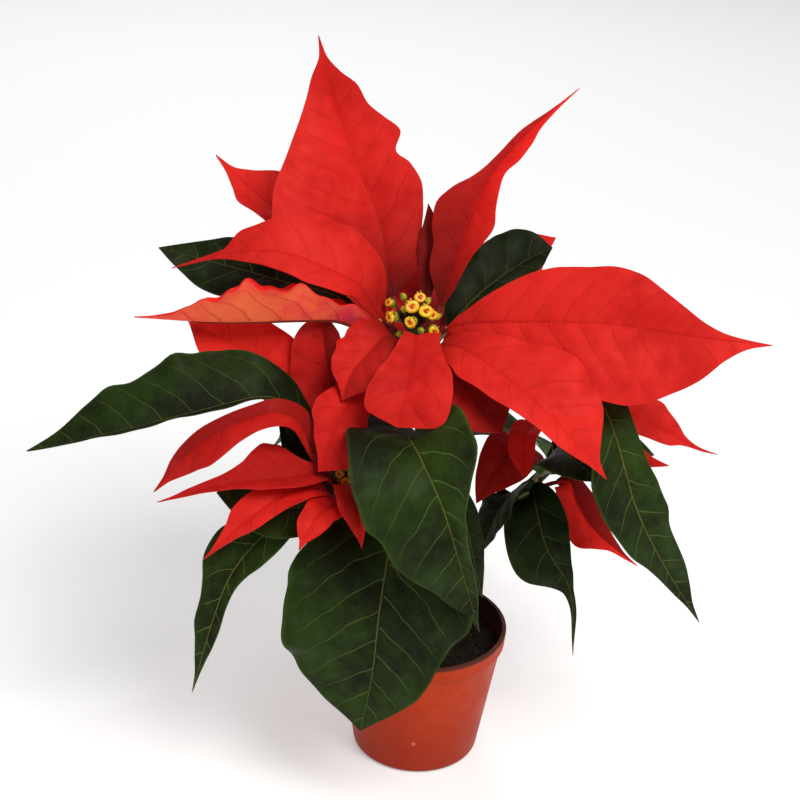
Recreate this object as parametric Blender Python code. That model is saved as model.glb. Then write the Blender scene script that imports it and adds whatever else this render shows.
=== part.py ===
# A poinsettia in a small round nursery pot, as one free-standing piece.
# Millimetres are used for every named size and turned into metres at the end.
# X runs to the right of the front view, Y away from the viewer, Z up.
# The origin is the centre of the pot's flat underside.
import math

import bmesh
import bpy
import numpy as np

for thing in list(bpy.data.objects):
    bpy.data.objects.remove(thing, do_unlink=True)

MM = 0.001
GAP = 0.3

# Sizes of the pot, which is a tapered cup with a plain band around its mouth
pot_height = 65.0
mouth_radius = 40.0
band_height = 7.5
band_step = 1.8
foot_radius = 29.2
corner_radius = 2.6
wall = 1.4
floor_thickness = 2.0
drain_hole_radius = 2.5
drain_ring_radius = 19.0
drain_hole_count = 6
pot_sides = 48

# Level of the soil, leaving a headspace under the mouth
soil_top = 55.0

# Thickness of the leaves and of their stalks
blade_thickness = 0.8
stalk_half_width = 1.1
stalk_thickness = 1.9

# Finishes: base colour, roughness
finishes = {
    "terracotta_plastic": ((0.62, 0.13, 0.055), 0.42),
    "potting_soil": ((0.035, 0.022, 0.015), 0.95),
    "green_stem": ((0.10, 0.17, 0.045), 0.6),
    "red_bract": ((0.78, 0.022, 0.018), 0.5),
    "green_leaf": ((0.022, 0.060, 0.016), 0.45),
    "yellow_flower": ((0.62, 0.36, 0.03), 0.55),
}


def material(name):
    colour, roughness = finishes[name]
    made = bpy.data.materials.new(name)
    made.use_nodes = True
    shader = made.node_tree.nodes["Principled BSDF"]
    shader.inputs["Base Color"].default_value = (*colour, 1.0)
    shader.inputs["Roughness"].default_value = roughness
    shader.inputs["Metallic"].default_value = 0.0
    made.diffuse_color = (*colour, 1.0)
    return made


materials = {name: material(name) for name in finishes}


def solid(name, points, faces, finish, origin=(0.0, 0.0, 0.0), smooth=True):
    """One closed body from points in millimetres, with its own origin."""
    base = np.array(origin, float)
    mesh = bpy.data.meshes.new(name)
    mesh.from_pydata([tuple((np.array(p) - base) * MM) for p in points], [], faces)
    work = bmesh.new()
    work.from_mesh(mesh)
    bmesh.ops.recalc_face_normals(work, faces=work.faces)
    work.to_mesh(mesh)
    work.free()
    mesh.materials.append(materials[finish])
    for face in mesh.polygons:
        face.use_smooth = smooth
    made = bpy.data.objects.new(name, mesh)
    made.location = tuple(base * MM)
    bpy.context.scene.collection.objects.link(made)
    return made


def turned(name, profile, sides, finish, origin=(0.0, 0.0, 0.0)):
    """A round body from a closed profile of (radius, height) corners.
    A corner at radius zero becomes one point on the axis."""
    points, rings = [], []
    for radius, height in profile:
        if radius < 1e-6:
            rings.append([len(points)] * sides)
            points.append((0.0, 0.0, height))
            continue
        rings.append(list(range(len(points), len(points) + sides)))
        for k in range(sides):
            a = 2 * math.pi * k / sides
            points.append((radius * math.cos(a), radius * math.sin(a), height))
    faces = []
    for low, high in zip(rings, rings[1:]):
        for k in range(sides):
            n = (k + 1) % sides
            face = [low[k], low[n], high[n], high[k]]
            face = [v for i, v in enumerate(face) if v not in face[:i]]
            if len(face) > 2:
                faces.append(face)
    return solid(name, points, faces, finish, origin)


def wall_radius(height):
    """Outer radius of the pot's tapered wall at a height."""
    top = mouth_radius - band_step
    return foot_radius + (top - foot_radius) * height / (pot_height - band_height)


# The pot: flat underside, rounded foot, tapered wall, mouth band, hollow inside
corner = [
    (
        foot_radius - corner_radius * (1 - math.sin(t)) + 0.35 * math.sin(t),
        corner_radius * (1 - math.cos(t)),
    )
    for t in (0.0, 0.5, 1.0, 1.5)
]
band_bottom = pot_height - band_height
pot_profile = (
    [(0.0, 0.0)]
    + corner
    + [
        (wall_radius(band_bottom), band_bottom),
        (mouth_radius - 0.4, band_bottom + 0.4),
        (mouth_radius, pot_height - 0.6),
        (mouth_radius - 0.5, pot_height),
        (mouth_radius - wall - 0.6, pot_height),
        (mouth_radius - wall - 1.0, pot_height - 0.6),
        (wall_radius(band_bottom) - wall, band_bottom - 1.0),
        (wall_radius(6.0) - wall, 6.0),
        (wall_radius(2.0) - wall - 2.0, floor_thickness),
        (0.0, floor_thickness),
    ]
)
pot = turned("pot", pot_profile, pot_sides, "terracotta_plastic")

# Drain holes through the floor of the pot, in a ring around its solid centre
for k in range(drain_hole_count):
    angle = 2 * math.pi * (k + 0.12) / drain_hole_count
    bpy.ops.mesh.primitive_cylinder_add(
        vertices=12,
        radius=drain_hole_radius * MM,
        depth=4 * floor_thickness * MM,
        location=(
            drain_ring_radius * math.cos(angle) * MM,
            drain_ring_radius * math.sin(angle) * MM,
            floor_thickness / 2 * MM,
        ),
    )
    cutter = bpy.context.object
    cutter.name = f"drain_cutter_{k + 1}"
    cutter.hide_render = True
    cutter.display_type = "WIRE"
    cut = pot.modifiers.new(f"drain_{k + 1}", "BOOLEAN")
    cut.operation = "DIFFERENCE"
    cut.solver = "EXACT"
    cut.object = cutter

# The soil: a plug that fills the pot up to its level, slightly raised in the middle
soil_profile = [
    (0.0, floor_thickness + GAP),
    (wall_radius(2.0) - wall - 3.0, floor_thickness + GAP),
    (wall_radius(6.0) - wall - GAP - 0.1, 6.6),
    (wall_radius(soil_top) - wall - GAP - 0.1, soil_top - 1.0),
    (wall_radius(soil_top) - wall - 3.0, soil_top),
    (14.0, soil_top + 0.8),
    (0.0, soil_top + 1.0),
]
turned("soil", soil_profile, 36, "potting_soil")


def smooth_path(points, count):
    """Even steps along a smooth curve through the points, and its length."""
    p = np.array(points, float)
    p = np.vstack([2 * p[0] - p[1], p, 2 * p[-1] - p[-2]])
    run = []
    for a, b, c, d in zip(p[:-3], p[1:-2], p[2:-1], p[3:]):
        for t in np.linspace(0.0, 1.0, 24, endpoint=False):
            curve = (
                2 * b
                + (c - a) * t
                + (2 * a - 5 * b + 4 * c - d) * t**2
                + (3 * b - a - 3 * c + d) * t**3
            )
            run.append(curve / 2)
    run.append(p[-2])
    run = np.array(run)
    along = np.concatenate([[0.0], np.cumsum(np.linalg.norm(np.diff(run, axis=0), axis=1))])
    steps = np.linspace(0.0, along[-1], count)
    return np.column_stack([np.interp(steps, along, run[:, k]) for k in range(3)])


# Stems: centre line from the foot up, radius at the foot and at the top.
# The three branches start just clear of the main stem.
stems = {
    "main_stem": ([(0, 3, 56.4), (2, 5, 100), (-2, 0, 150), (-7, -7, 195), (-10, -11, 220)], 4.6, 3.0),
    "left_branch": ([(-4, 0, 92), (-16, -12, 116), (-30, -34, 144), (-35, -49, 163)], 3.2, 2.6),
    "right_branch": ([(8.5, 6, 88), (24, 9, 112), (48, 13, 134), (60, 15, 148)], 3.2, 2.6),
    "back_branch": ([(0, 12.4, 96.5), (-2, 24, 124), (-4, 40, 152), (-5, 52, 176)], 3.2, 2.6),
}
stem_lines = {}


def stem(name, sides=10, rings=9):
    line, foot_r, top_r = stems[name]
    path = smooth_path(line, 81)
    radius = np.linspace(foot_r, top_r, 81)
    stem_lines[name] = (path, radius)
    direction = np.gradient(path, axis=0)
    points, faces = [], []
    for i in np.linspace(0, 80, rings).astype(int):
        t = direction[i] / np.linalg.norm(direction[i])
        across = np.cross(t, (0.0, 1.0, 0.0))
        across /= np.linalg.norm(across)
        other = np.cross(across, t)
        for k in range(sides):
            a = 2 * math.pi * k / sides
            points.append(path[i] + radius[i] * (math.cos(a) * across + math.sin(a) * other))
    for r in range(rings - 1):
        for k in range(sides):
            n = (k + 1) % sides
            faces.append((r * sides + k, r * sides + n, (r + 1) * sides + n, (r + 1) * sides + k))
    faces.append(tuple(range(sides))[::-1])
    faces.append(tuple(range((rings - 1) * sides, rings * sides)))
    solid(name, points, faces, "green_stem", origin=path[0])


for name in stems:
    stem(name)


def blade(name, stem_name, height, line, stalk, left, right, fold, turn, finish):
    """A leaf or a bract: a stalk that widens into a thin pointed blade.
    It leaves the stem at the height given and follows the line to its tip.
    stalk is the share of the length before the blade begins.
    left and right are half-widths at six even places between blade base and tip.
    fold lifts the two halves (degrees), turn rolls the blade from base to tip."""
    path, radius = stem_lines[stem_name]
    i = int(np.argmin(abs(path[:, 2] - height)))
    axis = path[min(i + 1, 80)] - path[i - 1]
    axis /= np.linalg.norm(axis)
    out = np.array(line[0], float) - path[i]
    out -= (out @ axis) * axis
    out /= np.linalg.norm(out)
    foot = path[i] + out * (radius[i] + 2.5 * GAP)
    run = smooth_path([foot, foot + out * 2.5] + list(line), 71)
    along = np.gradient(run, axis=0)
    along /= np.linalg.norm(along, axis=1)[:, None]
    bearing = run[-1] - run[0]
    bearing[2] = 0.0
    bearing /= np.linalg.norm(bearing)
    side = np.cross(bearing, (0.0, 0.0, 1.0))
    lifts = np.radians(fold)
    places = [0.0, stalk / 2, stalk] + [stalk + (1 - stalk) * k / 7 for k in range(1, 8)]
    lefts = [stalk_half_width] * 3 + list(left) + [0.5]
    rights = [stalk_half_width] * 3 + list(right) + [0.5]
    points = []
    for row, v in enumerate(places):
        i = int(round(v * 70))
        t = along[i]
        s = side - (side @ t) * t
        s /= np.linalg.norm(s)
        up = np.cross(s, t)
        roll = math.radians(turn[0] + (turn[1] - turn[0]) * v)
        s, up = s * math.cos(roll) + up * math.sin(roll), up * math.cos(roll) - s * math.sin(roll)
        open_share = min(1.0, max(0.0, (v - stalk / 2) / (stalk / 2)))
        a, b = lifts[0] * open_share, lifts[1] * open_share
        to_left = -s * math.cos(a) + up * math.sin(a)
        to_right = s * math.cos(b) + up * math.sin(b)
        thick = stalk_thickness if row < 2 else blade_thickness
        top = [
            run[i] + to_left * lefts[row],
            run[i] + to_left * lefts[row] * 0.5,
            run[i],
            run[i] + to_right * rights[row] * 0.5,
            run[i] + to_right * rights[row],
        ]
        left_face = s * math.sin(a) + up * math.cos(a)
        right_face = -s * math.sin(b) + up * math.cos(b)
        down = [left_face, left_face, up, right_face, right_face]
        points += [p + n * thick / 2 for p, n in zip(top, down)]
        points += [p - n * thick / 2 for p, n in zip(top, down)]
    faces = []
    for row in range(len(places) - 1):
        a, b = row * 10, row * 10 + 10
        for k in range(4):
            faces.append((a + k, a + k + 1, b + k + 1, b + k))
            faces.append((a + 5 + k, b + 5 + k, b + 6 + k, a + 6 + k))
        faces.append((a, b, b + 5, a + 5))
        faces.append((a + 4, a + 9, b + 9, b + 4))
    last = (len(places) - 1) * 10
    for k in range(4):
        faces.append((k, k + 5, k + 6, k + 1))
        faces.append((last + k, last + k + 1, last + k + 6, last + k + 5))
    solid(name, points, faces, finish, origin=foot)


# Every bract: stem, height on it, line to the tip, stalk share,
# left and right half-widths, fold of the halves, turn at base and tip
bracts = [
    ("bract_top", "main_stem", 214, [(-19, 3, 225), (-23, 9, 241), (-27, 17, 256), (-38, 28, 276),
    (-50, 40, 305), (-56, 48, 326)],
     0.14, (18, 34, 42, 33, 21, 9), (14, 19, 21, 23, 17, 9), (12, 24), (20, 20)),
    ("bract_left", "main_stem", 212, [(-25, -11, 223), (-33, -13, 237), (-45, -17, 245),
    (-64, -18, 252), (-86, -16, 250), (-111, -16, 242)],
     0.12, (7, 9, 12, 10, 5, 2), (12, 22, 22, 14, 9, 2), (8, 8), (35, 35)),
    ("bract_top_right", "main_stem", 213, [(1, -1, 224), (6, 5, 243), (11, 9, 258), (21, 16, 280),
    (35, 22, 296), (55, 30, 313)],
     0.12, (9, 16, 13, 5, 2, 1), (8, 11, 10, 7, 3, 1), (30, 25), (-40, -35)),
    ("bract_centre", "main_stem", 216, [(-6, 3, 226), (-5, 7, 240), (-5, 11, 252), (-6, 16, 264)],
     0.16, (2, 3, 4, 5, 4, 2), (3, 4, 5, 6, 5, 3), (15, 15), (-5, -5)),
    ("bract_right", "main_stem", 211, [(8, -18, 223), (34, -26, 229), (69, -36, 234), (101, -40, 232),
    (136, -36, 228)],
     0.10, (12, 21, 24, 22, 13, 5), (15, 23, 31, 33, 22, 9), (6, 6), (-55, -65)),
    ("bract_lower_right", "main_stem", 208, [(7, -30, 219), (26, -47, 215), (48, -62, 203),
    (70, -68, 180)],
     0.12, (6, 14, 19, 23, 20, 9), (8, 14, 14, 12, 9, 5), (8, 8), (-25, -30)),
    ("bract_front", "main_stem", 212, [(-9, -30, 223), (-10, -46, 218), (-12, -58, 210), (-15, -64, 197)],
     0.16, (6, 9, 13, 16, 17, 11), (6, 8, 11, 13, 13, 9), (10, 10), (0, 5)),
    ("bract_under", "main_stem", 206, [(2, -30, 211), (12, -38, 204), (19, -44, 197), (28, -48, 189)],
     0.20, (6, 10, 10, 10, 10, 6), (6, 12, 15, 17, 15, 8), (10, 10), (-15, -10)),
    ("bract_lower_left", "main_stem", 210, [(-21, -24, 219), (-28, -34, 216), (-35, -42, 209),
    (-38, -46, 199)],
     0.18, (4, 7, 9, 11, 12, 9), (5, 11, 12, 12, 10, 6), (10, 10), (25, 15)),
    ("bract_folded", "main_stem", 205, [(-26, -13, 214), (-40, -20, 224), (-57, -28, 227),
    (-86, -32, 226), (-124, -34, 227)],
     0.12, (10, 25, 26, 19, 12, 5), (5, 13, 17, 14, 10, 5), (56, 44), (0, 0)),
    ("bract_far_left", "main_stem", 205, [(-39, 16, 236), (-66, 30, 248), (-84, 42, 259),
    (-100, 48, 271)],
     0.14, (3, 8, 12, 14, 13, 8), (5, 12, 17, 18, 17, 9), (8, 8), (15, 15)),
    ("bract_far_right", "main_stem", 208, [(13, 15, 223), (27, 34, 232), (40, 49, 235), (53, 58, 236)],
     0.15, (4, 8, 11, 12, 10, 6), (8, 15, 19, 19, 15, 9), (8, 8), (-20, -25)),
    ("bract_hanging", "main_stem", 203, [(-22, -28, 203), (-33, -41, 198), (-41, -55, 190),
    (-46, -65, 176)],
     0.20, (3, 5, 7, 8, 9, 6), (3, 7, 11, 13, 9, 4), (10, 10), (25, 25)),
    ("bract_left_high", "left_branch", 156, [(-44, -25, 176), (-60, -24, 195), (-82, -22, 210),
    (-104, -18, 219)],
     0.14, (4, 8, 12, 14, 15, 12), (5, 9, 12, 16, 16, 9), (8, 8), (50, 45)),
    ("bract_left_upright", "left_branch", 160, [(-38, -36, 178), (-43, -25, 195), (-47, -20, 211),
    (-48, -18, 226)],
     0.14, (4, 8, 11, 11, 11, 8), (3, 5, 7, 7, 7, 6), (20, 12), (30, 30)),
    ("bract_left_mid", "left_branch", 156, [(-48, -51, 176), (-55, -57, 194), (-66, -62, 200),
    (-91, -68, 190), (-112, -70, 166)],
     0.14, (3, 5, 7, 10, 12, 7), (3, 4, 5, 6, 5, 4), (20, 8), (50, 30)),
    ("bract_left_low", "left_branch", 158, [(-45, -57, 171), (-59, -67, 174), (-82, -76, 174),
    (-109, -80, 167)],
     0.12, (4, 8, 9, 8, 4, 2), (4, 9, 16, 11, 5, 3), (35, 10), (30, 30)),
    ("bract_left_down", "left_branch", 154, [(-46, -59, 165), (-57, -70, 169), (-72, -80, 162),
    (-90, -86, 145)],
     0.12, (3, 5, 7, 7, 6, 2), (3, 5, 7, 9, 6, 3), (10, 10), (15, 25)),
    ("bract_left_front", "left_branch", 150, [(-37, -58, 157), (-43, -71, 162), (-48, -80, 159),
    (-52, -84, 150)],
     0.14, (5, 8, 10, 9, 6, 2), (3, 4, 5, 5, 5, 3), (6, 6), (15, 15)),
    ("bract_left_front_right", "left_branch", 160, [(-31, -62, 168), (-30, -72, 167), (-28, -78, 160),
    (-27, -80, 150)],
     0.14, (3, 5, 6, 5, 3, 1), (4, 6, 9, 9, 6, 2), (10, 10), (0, 0)),
    ("bract_right_down", "right_branch", 136, [(63, 2, 142), (66, -4, 135), (73, -8, 125),
    (83, -10, 116), (96, -10, 106)],
     0.16, (4, 6, 8, 7, 5, 3), (5, 9, 12, 10, 5, 2), (10, 30), (-50, -40)),
    ("bract_right_far", "right_branch", 145, [(66, 6, 154), (74, 8, 166), (86, 8, 173), (104, 6, 167),
    (118, 4, 160), (128, 4, 157)],
     0.14, (4, 8, 10, 11, 6, 1), (4, 7, 8, 7, 5, 1), (8, 8), (-50, -45)),
    ("bract_right_behind", "right_branch", 142, [(74, 20, 152), (90, 24, 146), (102, 26, 141),
    (111, 26, 139)],
     0.20, (3, 5, 6, 6, 5, 2), (3, 6, 8, 7, 6, 3), (8, 8), (-30, -35)),
    ("bract_right_small", "right_branch", 147, [(52, -2, 170), (40, -22, 176), (40, -36, 162)],
     0.30, (2, 3, 4, 5, 5, 4), (2, 3, 5, 7, 7, 5), (10, 10), (10, 15)),
    ("bract_right_inner", "right_branch", 141, [(46, 4, 156), (35, -10, 160), (28, -15, 153),
    (21, -20, 140)],
     0.20, (3, 5, 8, 10, 8, 4), (2, 4, 6, 7, 7, 4), (10, 10), (20, 20)),
    ("bract_back", "back_branch", 170, [(-3, 72, 188), (2, 100, 192), (6, 128, 176)],
     0.14, (8, 15, 18, 16, 11, 5), (8, 15, 18, 16, 11, 5), (10, 10), (0, 0)),
    ("bract_back_right", "back_branch", 168, [(14, 64, 184), (40, 80, 189), (70, 96, 178)],
     0.14, (8, 14, 17, 15, 11, 5), (8, 14, 17, 15, 11, 5), (10, 10), (-5, -10)),
    ("bract_back_left", "back_branch", 168, [(-20, 66, 184), (-44, 86, 188), (-72, 104, 172)],
     0.14, (8, 14, 17, 15, 11, 5), (8, 14, 17, 15, 11, 5), (10, 10), (5, 10)),
    ("bract_back_low_left", "back_branch", 162, [(-22, 60, 170), (-48, 68, 168), (-76, 76, 150)],
     0.14, (7, 12, 15, 13, 9, 4), (7, 12, 15, 13, 9, 4), (10, 10), (0, 0)),
    ("bract_back_low_right", "back_branch", 162, [(14, 60, 170), (40, 66, 168), (66, 74, 150)],
     0.14, (7, 12, 15, 13, 9, 4), (7, 12, 15, 13, 9, 4), (10, 10), (0, 0)),
    ("bract_back_high_left", "main_stem", 202, [(-16, 14, 218), (-28, 42, 232), (-36, 80, 226)],
     0.14, (8, 15, 19, 17, 12, 5), (8, 15, 19, 17, 12, 5), (10, 10), (0, 0)),
    ("bract_back_high_right", "main_stem", 200, [(-4, 10, 210), (6, 36, 214), (16, 70, 202)],
     0.14, (8, 15, 18, 16, 11, 5), (8, 15, 18, 16, 11, 5), (10, 10), (0, 0)),
]
for row in bracts:
    blade(*row, "red_bract")

leaves = [
    ("leaf_top_left", "main_stem", 199, [(-40, 6, 222), (-69, 18, 225), (-98, 24, 230), (-123, 28, 234)],
     0.25, (4, 10, 15, 19, 18, 11), (3, 9, 14, 15, 13, 7), (10, 10), (30, 30)),
    ("leaf_top_right", "main_stem", 203, [(9, -2, 221), (22, 9, 231), (37, 19, 239), (49, 26, 243)],
     0.22, (3, 7, 9, 11, 11, 8), (3, 8, 11, 11, 9, 6), (10, 10), (-40, -40)),
    ("leaf_left", "left_branch", 148, [(-44, -32, 168), (-55, -39, 188), (-68, -46, 200),
    (-94, -56, 197), (-126, -64, 190), (-163, -68, 181)],
     0.18, (4, 8, 10, 11, 10, 6), (6, 15, 24, 25, 18, 9), (55, 8), (35, 30)),
    ("leaf_left_inner", "left_branch", 140, [(-45, -41, 159), (-52, -47, 172), (-58, -50, 183),
    (-63, -52, 191)],
     0.20, (3, 6, 9, 10, 9, 6), (3, 6, 9, 10, 9, 6), (10, 10), (65, 65)),
    ("leaf_left_under", "left_branch", 129, [(-42, -39, 143), (-56, -49, 150), (-72, -60, 154),
    (-87, -66, 165)],
     0.20, (4, 10, 14, 15, 13, 8), (4, 9, 13, 14, 13, 9), (10, 10), (35, 40)),
    ("leaf_lower_left", "left_branch", 126, [(-52, -38, 145), (-66, -52, 141), (-80, -64, 128),
    (-88, -71, 108), (-97, -74, 72)],
     0.20, (5, 9, 10, 8, 5, 3), (6, 12, 13, 10, 7, 3), (40, 10), (35, 45)),
    ("leaf_front_upper", "main_stem", 170, [(-10, -52, 187), (-8, -64, 190), (-2, -77, 184),
    (5, -83, 171), (12, -83, 149), (23, -74, 109)],
     0.30, (15, 26, 22, 14, 9, 4), (26, 31, 33, 24, 13, 5), (40, 8), (-25, -10)),
    ("leaf_front_lower", "main_stem", 126, [(-12, -40, 143), (-16, -56, 135), (-19, -68, 112),
    (-21, -70, 80), (-25, -70, 53)],
     0.30, (24, 37, 38, 29, 20, 10), (25, 37, 40, 36, 29, 16), (6, 6), (10, 10)),
    ("leaf_behind_front", "main_stem", 146, [(9, -22, 153), (15, -30, 142), (20, -32, 123),
    (26, -28, 97)],
     0.30, (5, 6, 6, 5, 4, 2), (6, 8, 8, 7, 6, 4), (10, 10), (-25, -25)),
    ("leaf_right", "right_branch", 140, [(68, -4, 168), (66, -18, 190), (70, -30, 196), (77, -42, 183),
    (87, -46, 155), (102, -42, 126), (122, -34, 93)],
     0.22, (9, 11, 12, 12, 9, 5), (8, 15, 19, 15, 7, 3), (10, 10), (-25, -30)),
    ("leaf_lower_centre", "right_branch", 128, [(47, 1, 137), (48, -9, 134), (54, -18, 117),
    (66, -20, 97), (70, -18, 62)],
     0.20, (8, 12, 10, 5, 2, 1), (8, 15, 16, 7, 2, 1), (10, 10), (-50, -60)),
    ("leaf_lower_inner", "right_branch", 124, [(40, 4, 133), (36, -2, 134), (30, -6, 124),
    (24, -10, 108)],
     0.20, (4, 6, 8, 9, 8, 5), (6, 9, 11, 11, 10, 6), (10, 10), (-35, -35)),
    ("leaf_right_behind", "right_branch", 134, [(74, 30, 151), (86, 36, 146), (106, 40, 137)],
     0.25, (3, 6, 8, 10, 8, 5), (4, 8, 12, 12, 10, 6), (8, 8), (-30, -40)),
    ("leaf_right_inner", "right_branch", 136, [(54, -6, 157), (58, -23, 168), (64, -33, 167),
    (71, -38, 163)],
     0.25, (5, 10, 13, 13, 12, 8), (5, 9, 12, 13, 12, 7), (10, 10), (-40, -20)),
    ("leaf_back_left", "back_branch", 142, [(-24, 54, 148), (-50, 70, 140), (-78, 84, 108)],
     0.22, (8, 15, 18, 16, 11, 5), (8, 15, 18, 16, 11, 5), (10, 10), (0, 0)),
    ("leaf_back_right", "back_branch", 134, [(20, 50, 140), (48, 66, 132), (72, 80, 98)],
     0.22, (8, 15, 18, 16, 11, 5), (8, 15, 18, 16, 11, 5), (10, 10), (0, 0)),
    ("leaf_back", "back_branch", 124, [(0, 52, 124), (2, 72, 112), (4, 88, 78)],
     0.22, (8, 15, 18, 16, 11, 5), (8, 15, 18, 16, 11, 5), (10, 10), (0, 0)),
]
for row in leaves:
    blade(*row, "green_leaf")


# The small true flowers in the middle of each head, a knobbly dome on a short neck
def flower_dome(name, stem_name, radius, height, finish="yellow_flower"):
    path, stem_radius = stem_lines[stem_name]
    top = path[-1]
    neck = stem_radius[-1] * 0.8
    profile = [
        (0.0, 1.7),
        (neck, 1.7),
        (neck, 3.0),
        (radius * 0.8, 4.0),
        (radius, 4.0 + height * 0.4),
        (radius * 0.75, 4.0 + height * 0.75),
        (radius * 0.35, 4.0 + height * 0.95),
        (0.0, 4.0 + height),
    ]
    made = turned(name, profile, 16, finish)
    made.location = tuple(top * MM)


flower_dome("flowers_main", "main_stem", 12.0, 12.5)
flower_dome("flowers_left", "left_branch", 5.0, 5.0)
flower_dome("flowers_right", "right_branch", 5.0, 5.0)
flower_dome("flowers_back", "back_branch", 7.0, 6.0)
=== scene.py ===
# %% [markdown]
# # A poinsettia in its nursery pot
#
# The plant stands in a small terracotta-coloured plastic pot. A frame of plain solids,
# one for every leaf, red bract, stem and flower head, gives each place and size. This
# lesson makes the fine pieces that are seen: veined and rippled blades, stems with leaf
# scars, the small true flowers, crumbly soil and the moulded pot. Every piece replaces
# the plain solid it stands on, so nothing here changes where a thing is.

# %% Open the frame
import math

import bpy
import numpy as np
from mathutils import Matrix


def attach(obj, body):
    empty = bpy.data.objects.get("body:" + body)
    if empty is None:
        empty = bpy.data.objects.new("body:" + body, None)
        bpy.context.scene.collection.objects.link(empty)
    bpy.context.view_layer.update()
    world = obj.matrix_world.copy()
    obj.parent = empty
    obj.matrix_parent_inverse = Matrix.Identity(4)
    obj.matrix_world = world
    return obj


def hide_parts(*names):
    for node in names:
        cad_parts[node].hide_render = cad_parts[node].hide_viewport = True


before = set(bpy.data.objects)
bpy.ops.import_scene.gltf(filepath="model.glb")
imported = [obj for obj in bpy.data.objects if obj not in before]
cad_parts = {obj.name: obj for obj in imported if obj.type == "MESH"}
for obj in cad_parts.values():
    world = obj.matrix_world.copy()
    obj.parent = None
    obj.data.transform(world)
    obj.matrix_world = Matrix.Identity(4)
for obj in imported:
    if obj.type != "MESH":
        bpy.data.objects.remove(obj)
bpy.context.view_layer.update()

MM = 0.001
bpy.ops.object.select_all(action="DESELECT")
print("plain solids:", len(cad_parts))

# %% [markdown]
# ## Where the viewer stands
#
# The plant is seen from the front and from a quarter of the way up, as one looks at a
# pot on a table. The camera looks at a point in the middle of the plant. Its place is
# worked out from the distance and the angle above the table, and the small roll is the
# tilt with which the camera was held.

# %% Camera
look_at = np.array((-14.3, 0.0, 178.7)) * MM
distance = 750.0 * MM
above = math.radians(25.5)
roll = math.radians(2.6)

camera_data = bpy.data.cameras.new("camera")
camera_data.lens = 77.12
camera_data.sensor_width = 36.0
camera = bpy.data.objects.new("camera", camera_data)
bpy.context.scene.collection.objects.link(camera)
camera.location = look_at + distance * np.array((0.0, -math.cos(above), math.sin(above)))
camera.rotation_mode = "ZXY"
camera.rotation_euler = (math.radians(90.0) - above, 0.0, roll)
bpy.context.scene.camera = camera
print("camera at", [round(x, 3) for x in camera.location])

# %% [markdown]
# ## Floor
#
# The plant stands on a wide pale floor. A plane is all it takes; a weak glow of its own
# keeps it nearly white where the lamps reach it less.

# %% Floor
bpy.ops.mesh.primitive_plane_add(size=12.0, location=(0.0, 0.0, 0.0))
floor = bpy.context.object
floor.name = "floor"
floor_paint = bpy.data.materials.new("pale floor")
floor_paint.use_nodes = True
floor_values = {
    "Base Color": (0.9, 0.9, 0.9, 1), "Roughness": 0.9,
    "Emission Color": (1, 1, 1, 1), "Emission Strength": 0.28,
}
for socket, value in floor_values.items():
    floor_paint.node_tree.nodes["Principled BSDF"].inputs[socket].default_value = value
floor.data.materials.append(floor_paint)
print("floor:", tuple(floor.dimensions))

# %% [markdown]
# ## Studio light
#
# A leaf shows its form only where light comes mostly from one side. So a broad lamp
# stands high in front and a little to the right, a weak one opposite keeps the dark
# leaves readable, one behind lights the back bracts, and the pale surround does the
# rest. A lamp with a large face throws soft shadows.

# %% Lamps
plant_middle = np.array((0.0, 0.0, 0.18))


def lamp(name, place, size, power, colour=(1.0, 1.0, 1.0)):
    """A square soft lamp that faces the middle of the plant."""
    bpy.ops.object.light_add(type="AREA", location=place)
    made = bpy.context.object
    made.name = name
    made.data.size = size
    made.data.energy = power
    made.data.color = colour
    aim = plant_middle - np.array(place)
    across = math.atan2(aim[0], -aim[1])
    down = math.atan2(math.hypot(aim[0], aim[1]), -aim[2])
    made.rotation_euler = (down, 0.0, across + math.pi)


lamp("key_lamp", (0.55, -0.95, 1.55), 0.8, 25.0, (1.0, 0.985, 0.96))
lamp("fill_lamp", (-1.2, -0.7, 0.7), 1.0, 2.0, (0.97, 0.985, 1.0))
lamp("back_lamp", (-0.3, 1.5, 1.3), 1.2, 9.0)
print("lamps:", len(bpy.data.lights))

# %% [markdown]
# ## Surround
#
# Seen directly, the surround is as pale as the floor, though it lights the plant less.
# The Light Path node tells the two apart: it gives one for what the camera sees.

# %% Surround
light_on_plant, extra_when_seen = 0.26, 0.7
world = bpy.data.worlds.new("pale surround")
bpy.context.scene.world = world
world.use_nodes = True
background = world.node_tree.nodes["Background"]
background.inputs["Color"].default_value = (0.95, 0.97, 1.0, 1)
seen = world.node_tree.nodes.new("ShaderNodeLightPath")
strength = world.node_tree.nodes.new("ShaderNodeMath")
strength.operation = "MULTIPLY_ADD"
strength.inputs[1].default_value = extra_when_seen
strength.inputs[2].default_value = light_on_plant
world.node_tree.links.new(seen.outputs["Is Camera Ray"], strength.inputs[0])
world.node_tree.links.new(strength.outputs[0], background.inputs["Strength"])
bpy.context.scene.view_settings.view_transform = "Standard"
print("surround:", world.name)

# %% [markdown]
# ## Small tools for mixing finishes
#
# A finish is a chain of small nodes. Three short helpers keep the chains readable:
# one feeds a socket with a number or with another node, one does a sum, and one mixes
# two colours. Colours are written as they look on a screen, from 0 to 255, and turned
# into amounts of light here.

# %% Helpers for nodes
def paint(red, green, blue):
    """A screen colour as amounts of light."""
    light = []
    for part in (red, green, blue):
        s = part / 255
        light.append(s / 12.92 if s <= 0.04045 else ((s + 0.055) / 1.055) ** 2.4)
    return (*light, 1.0)


def feed(tree, socket, value):
    if isinstance(value, bpy.types.NodeSocket):
        tree.links.new(value, socket)
    elif value is not None:
        socket.default_value = value


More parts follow.
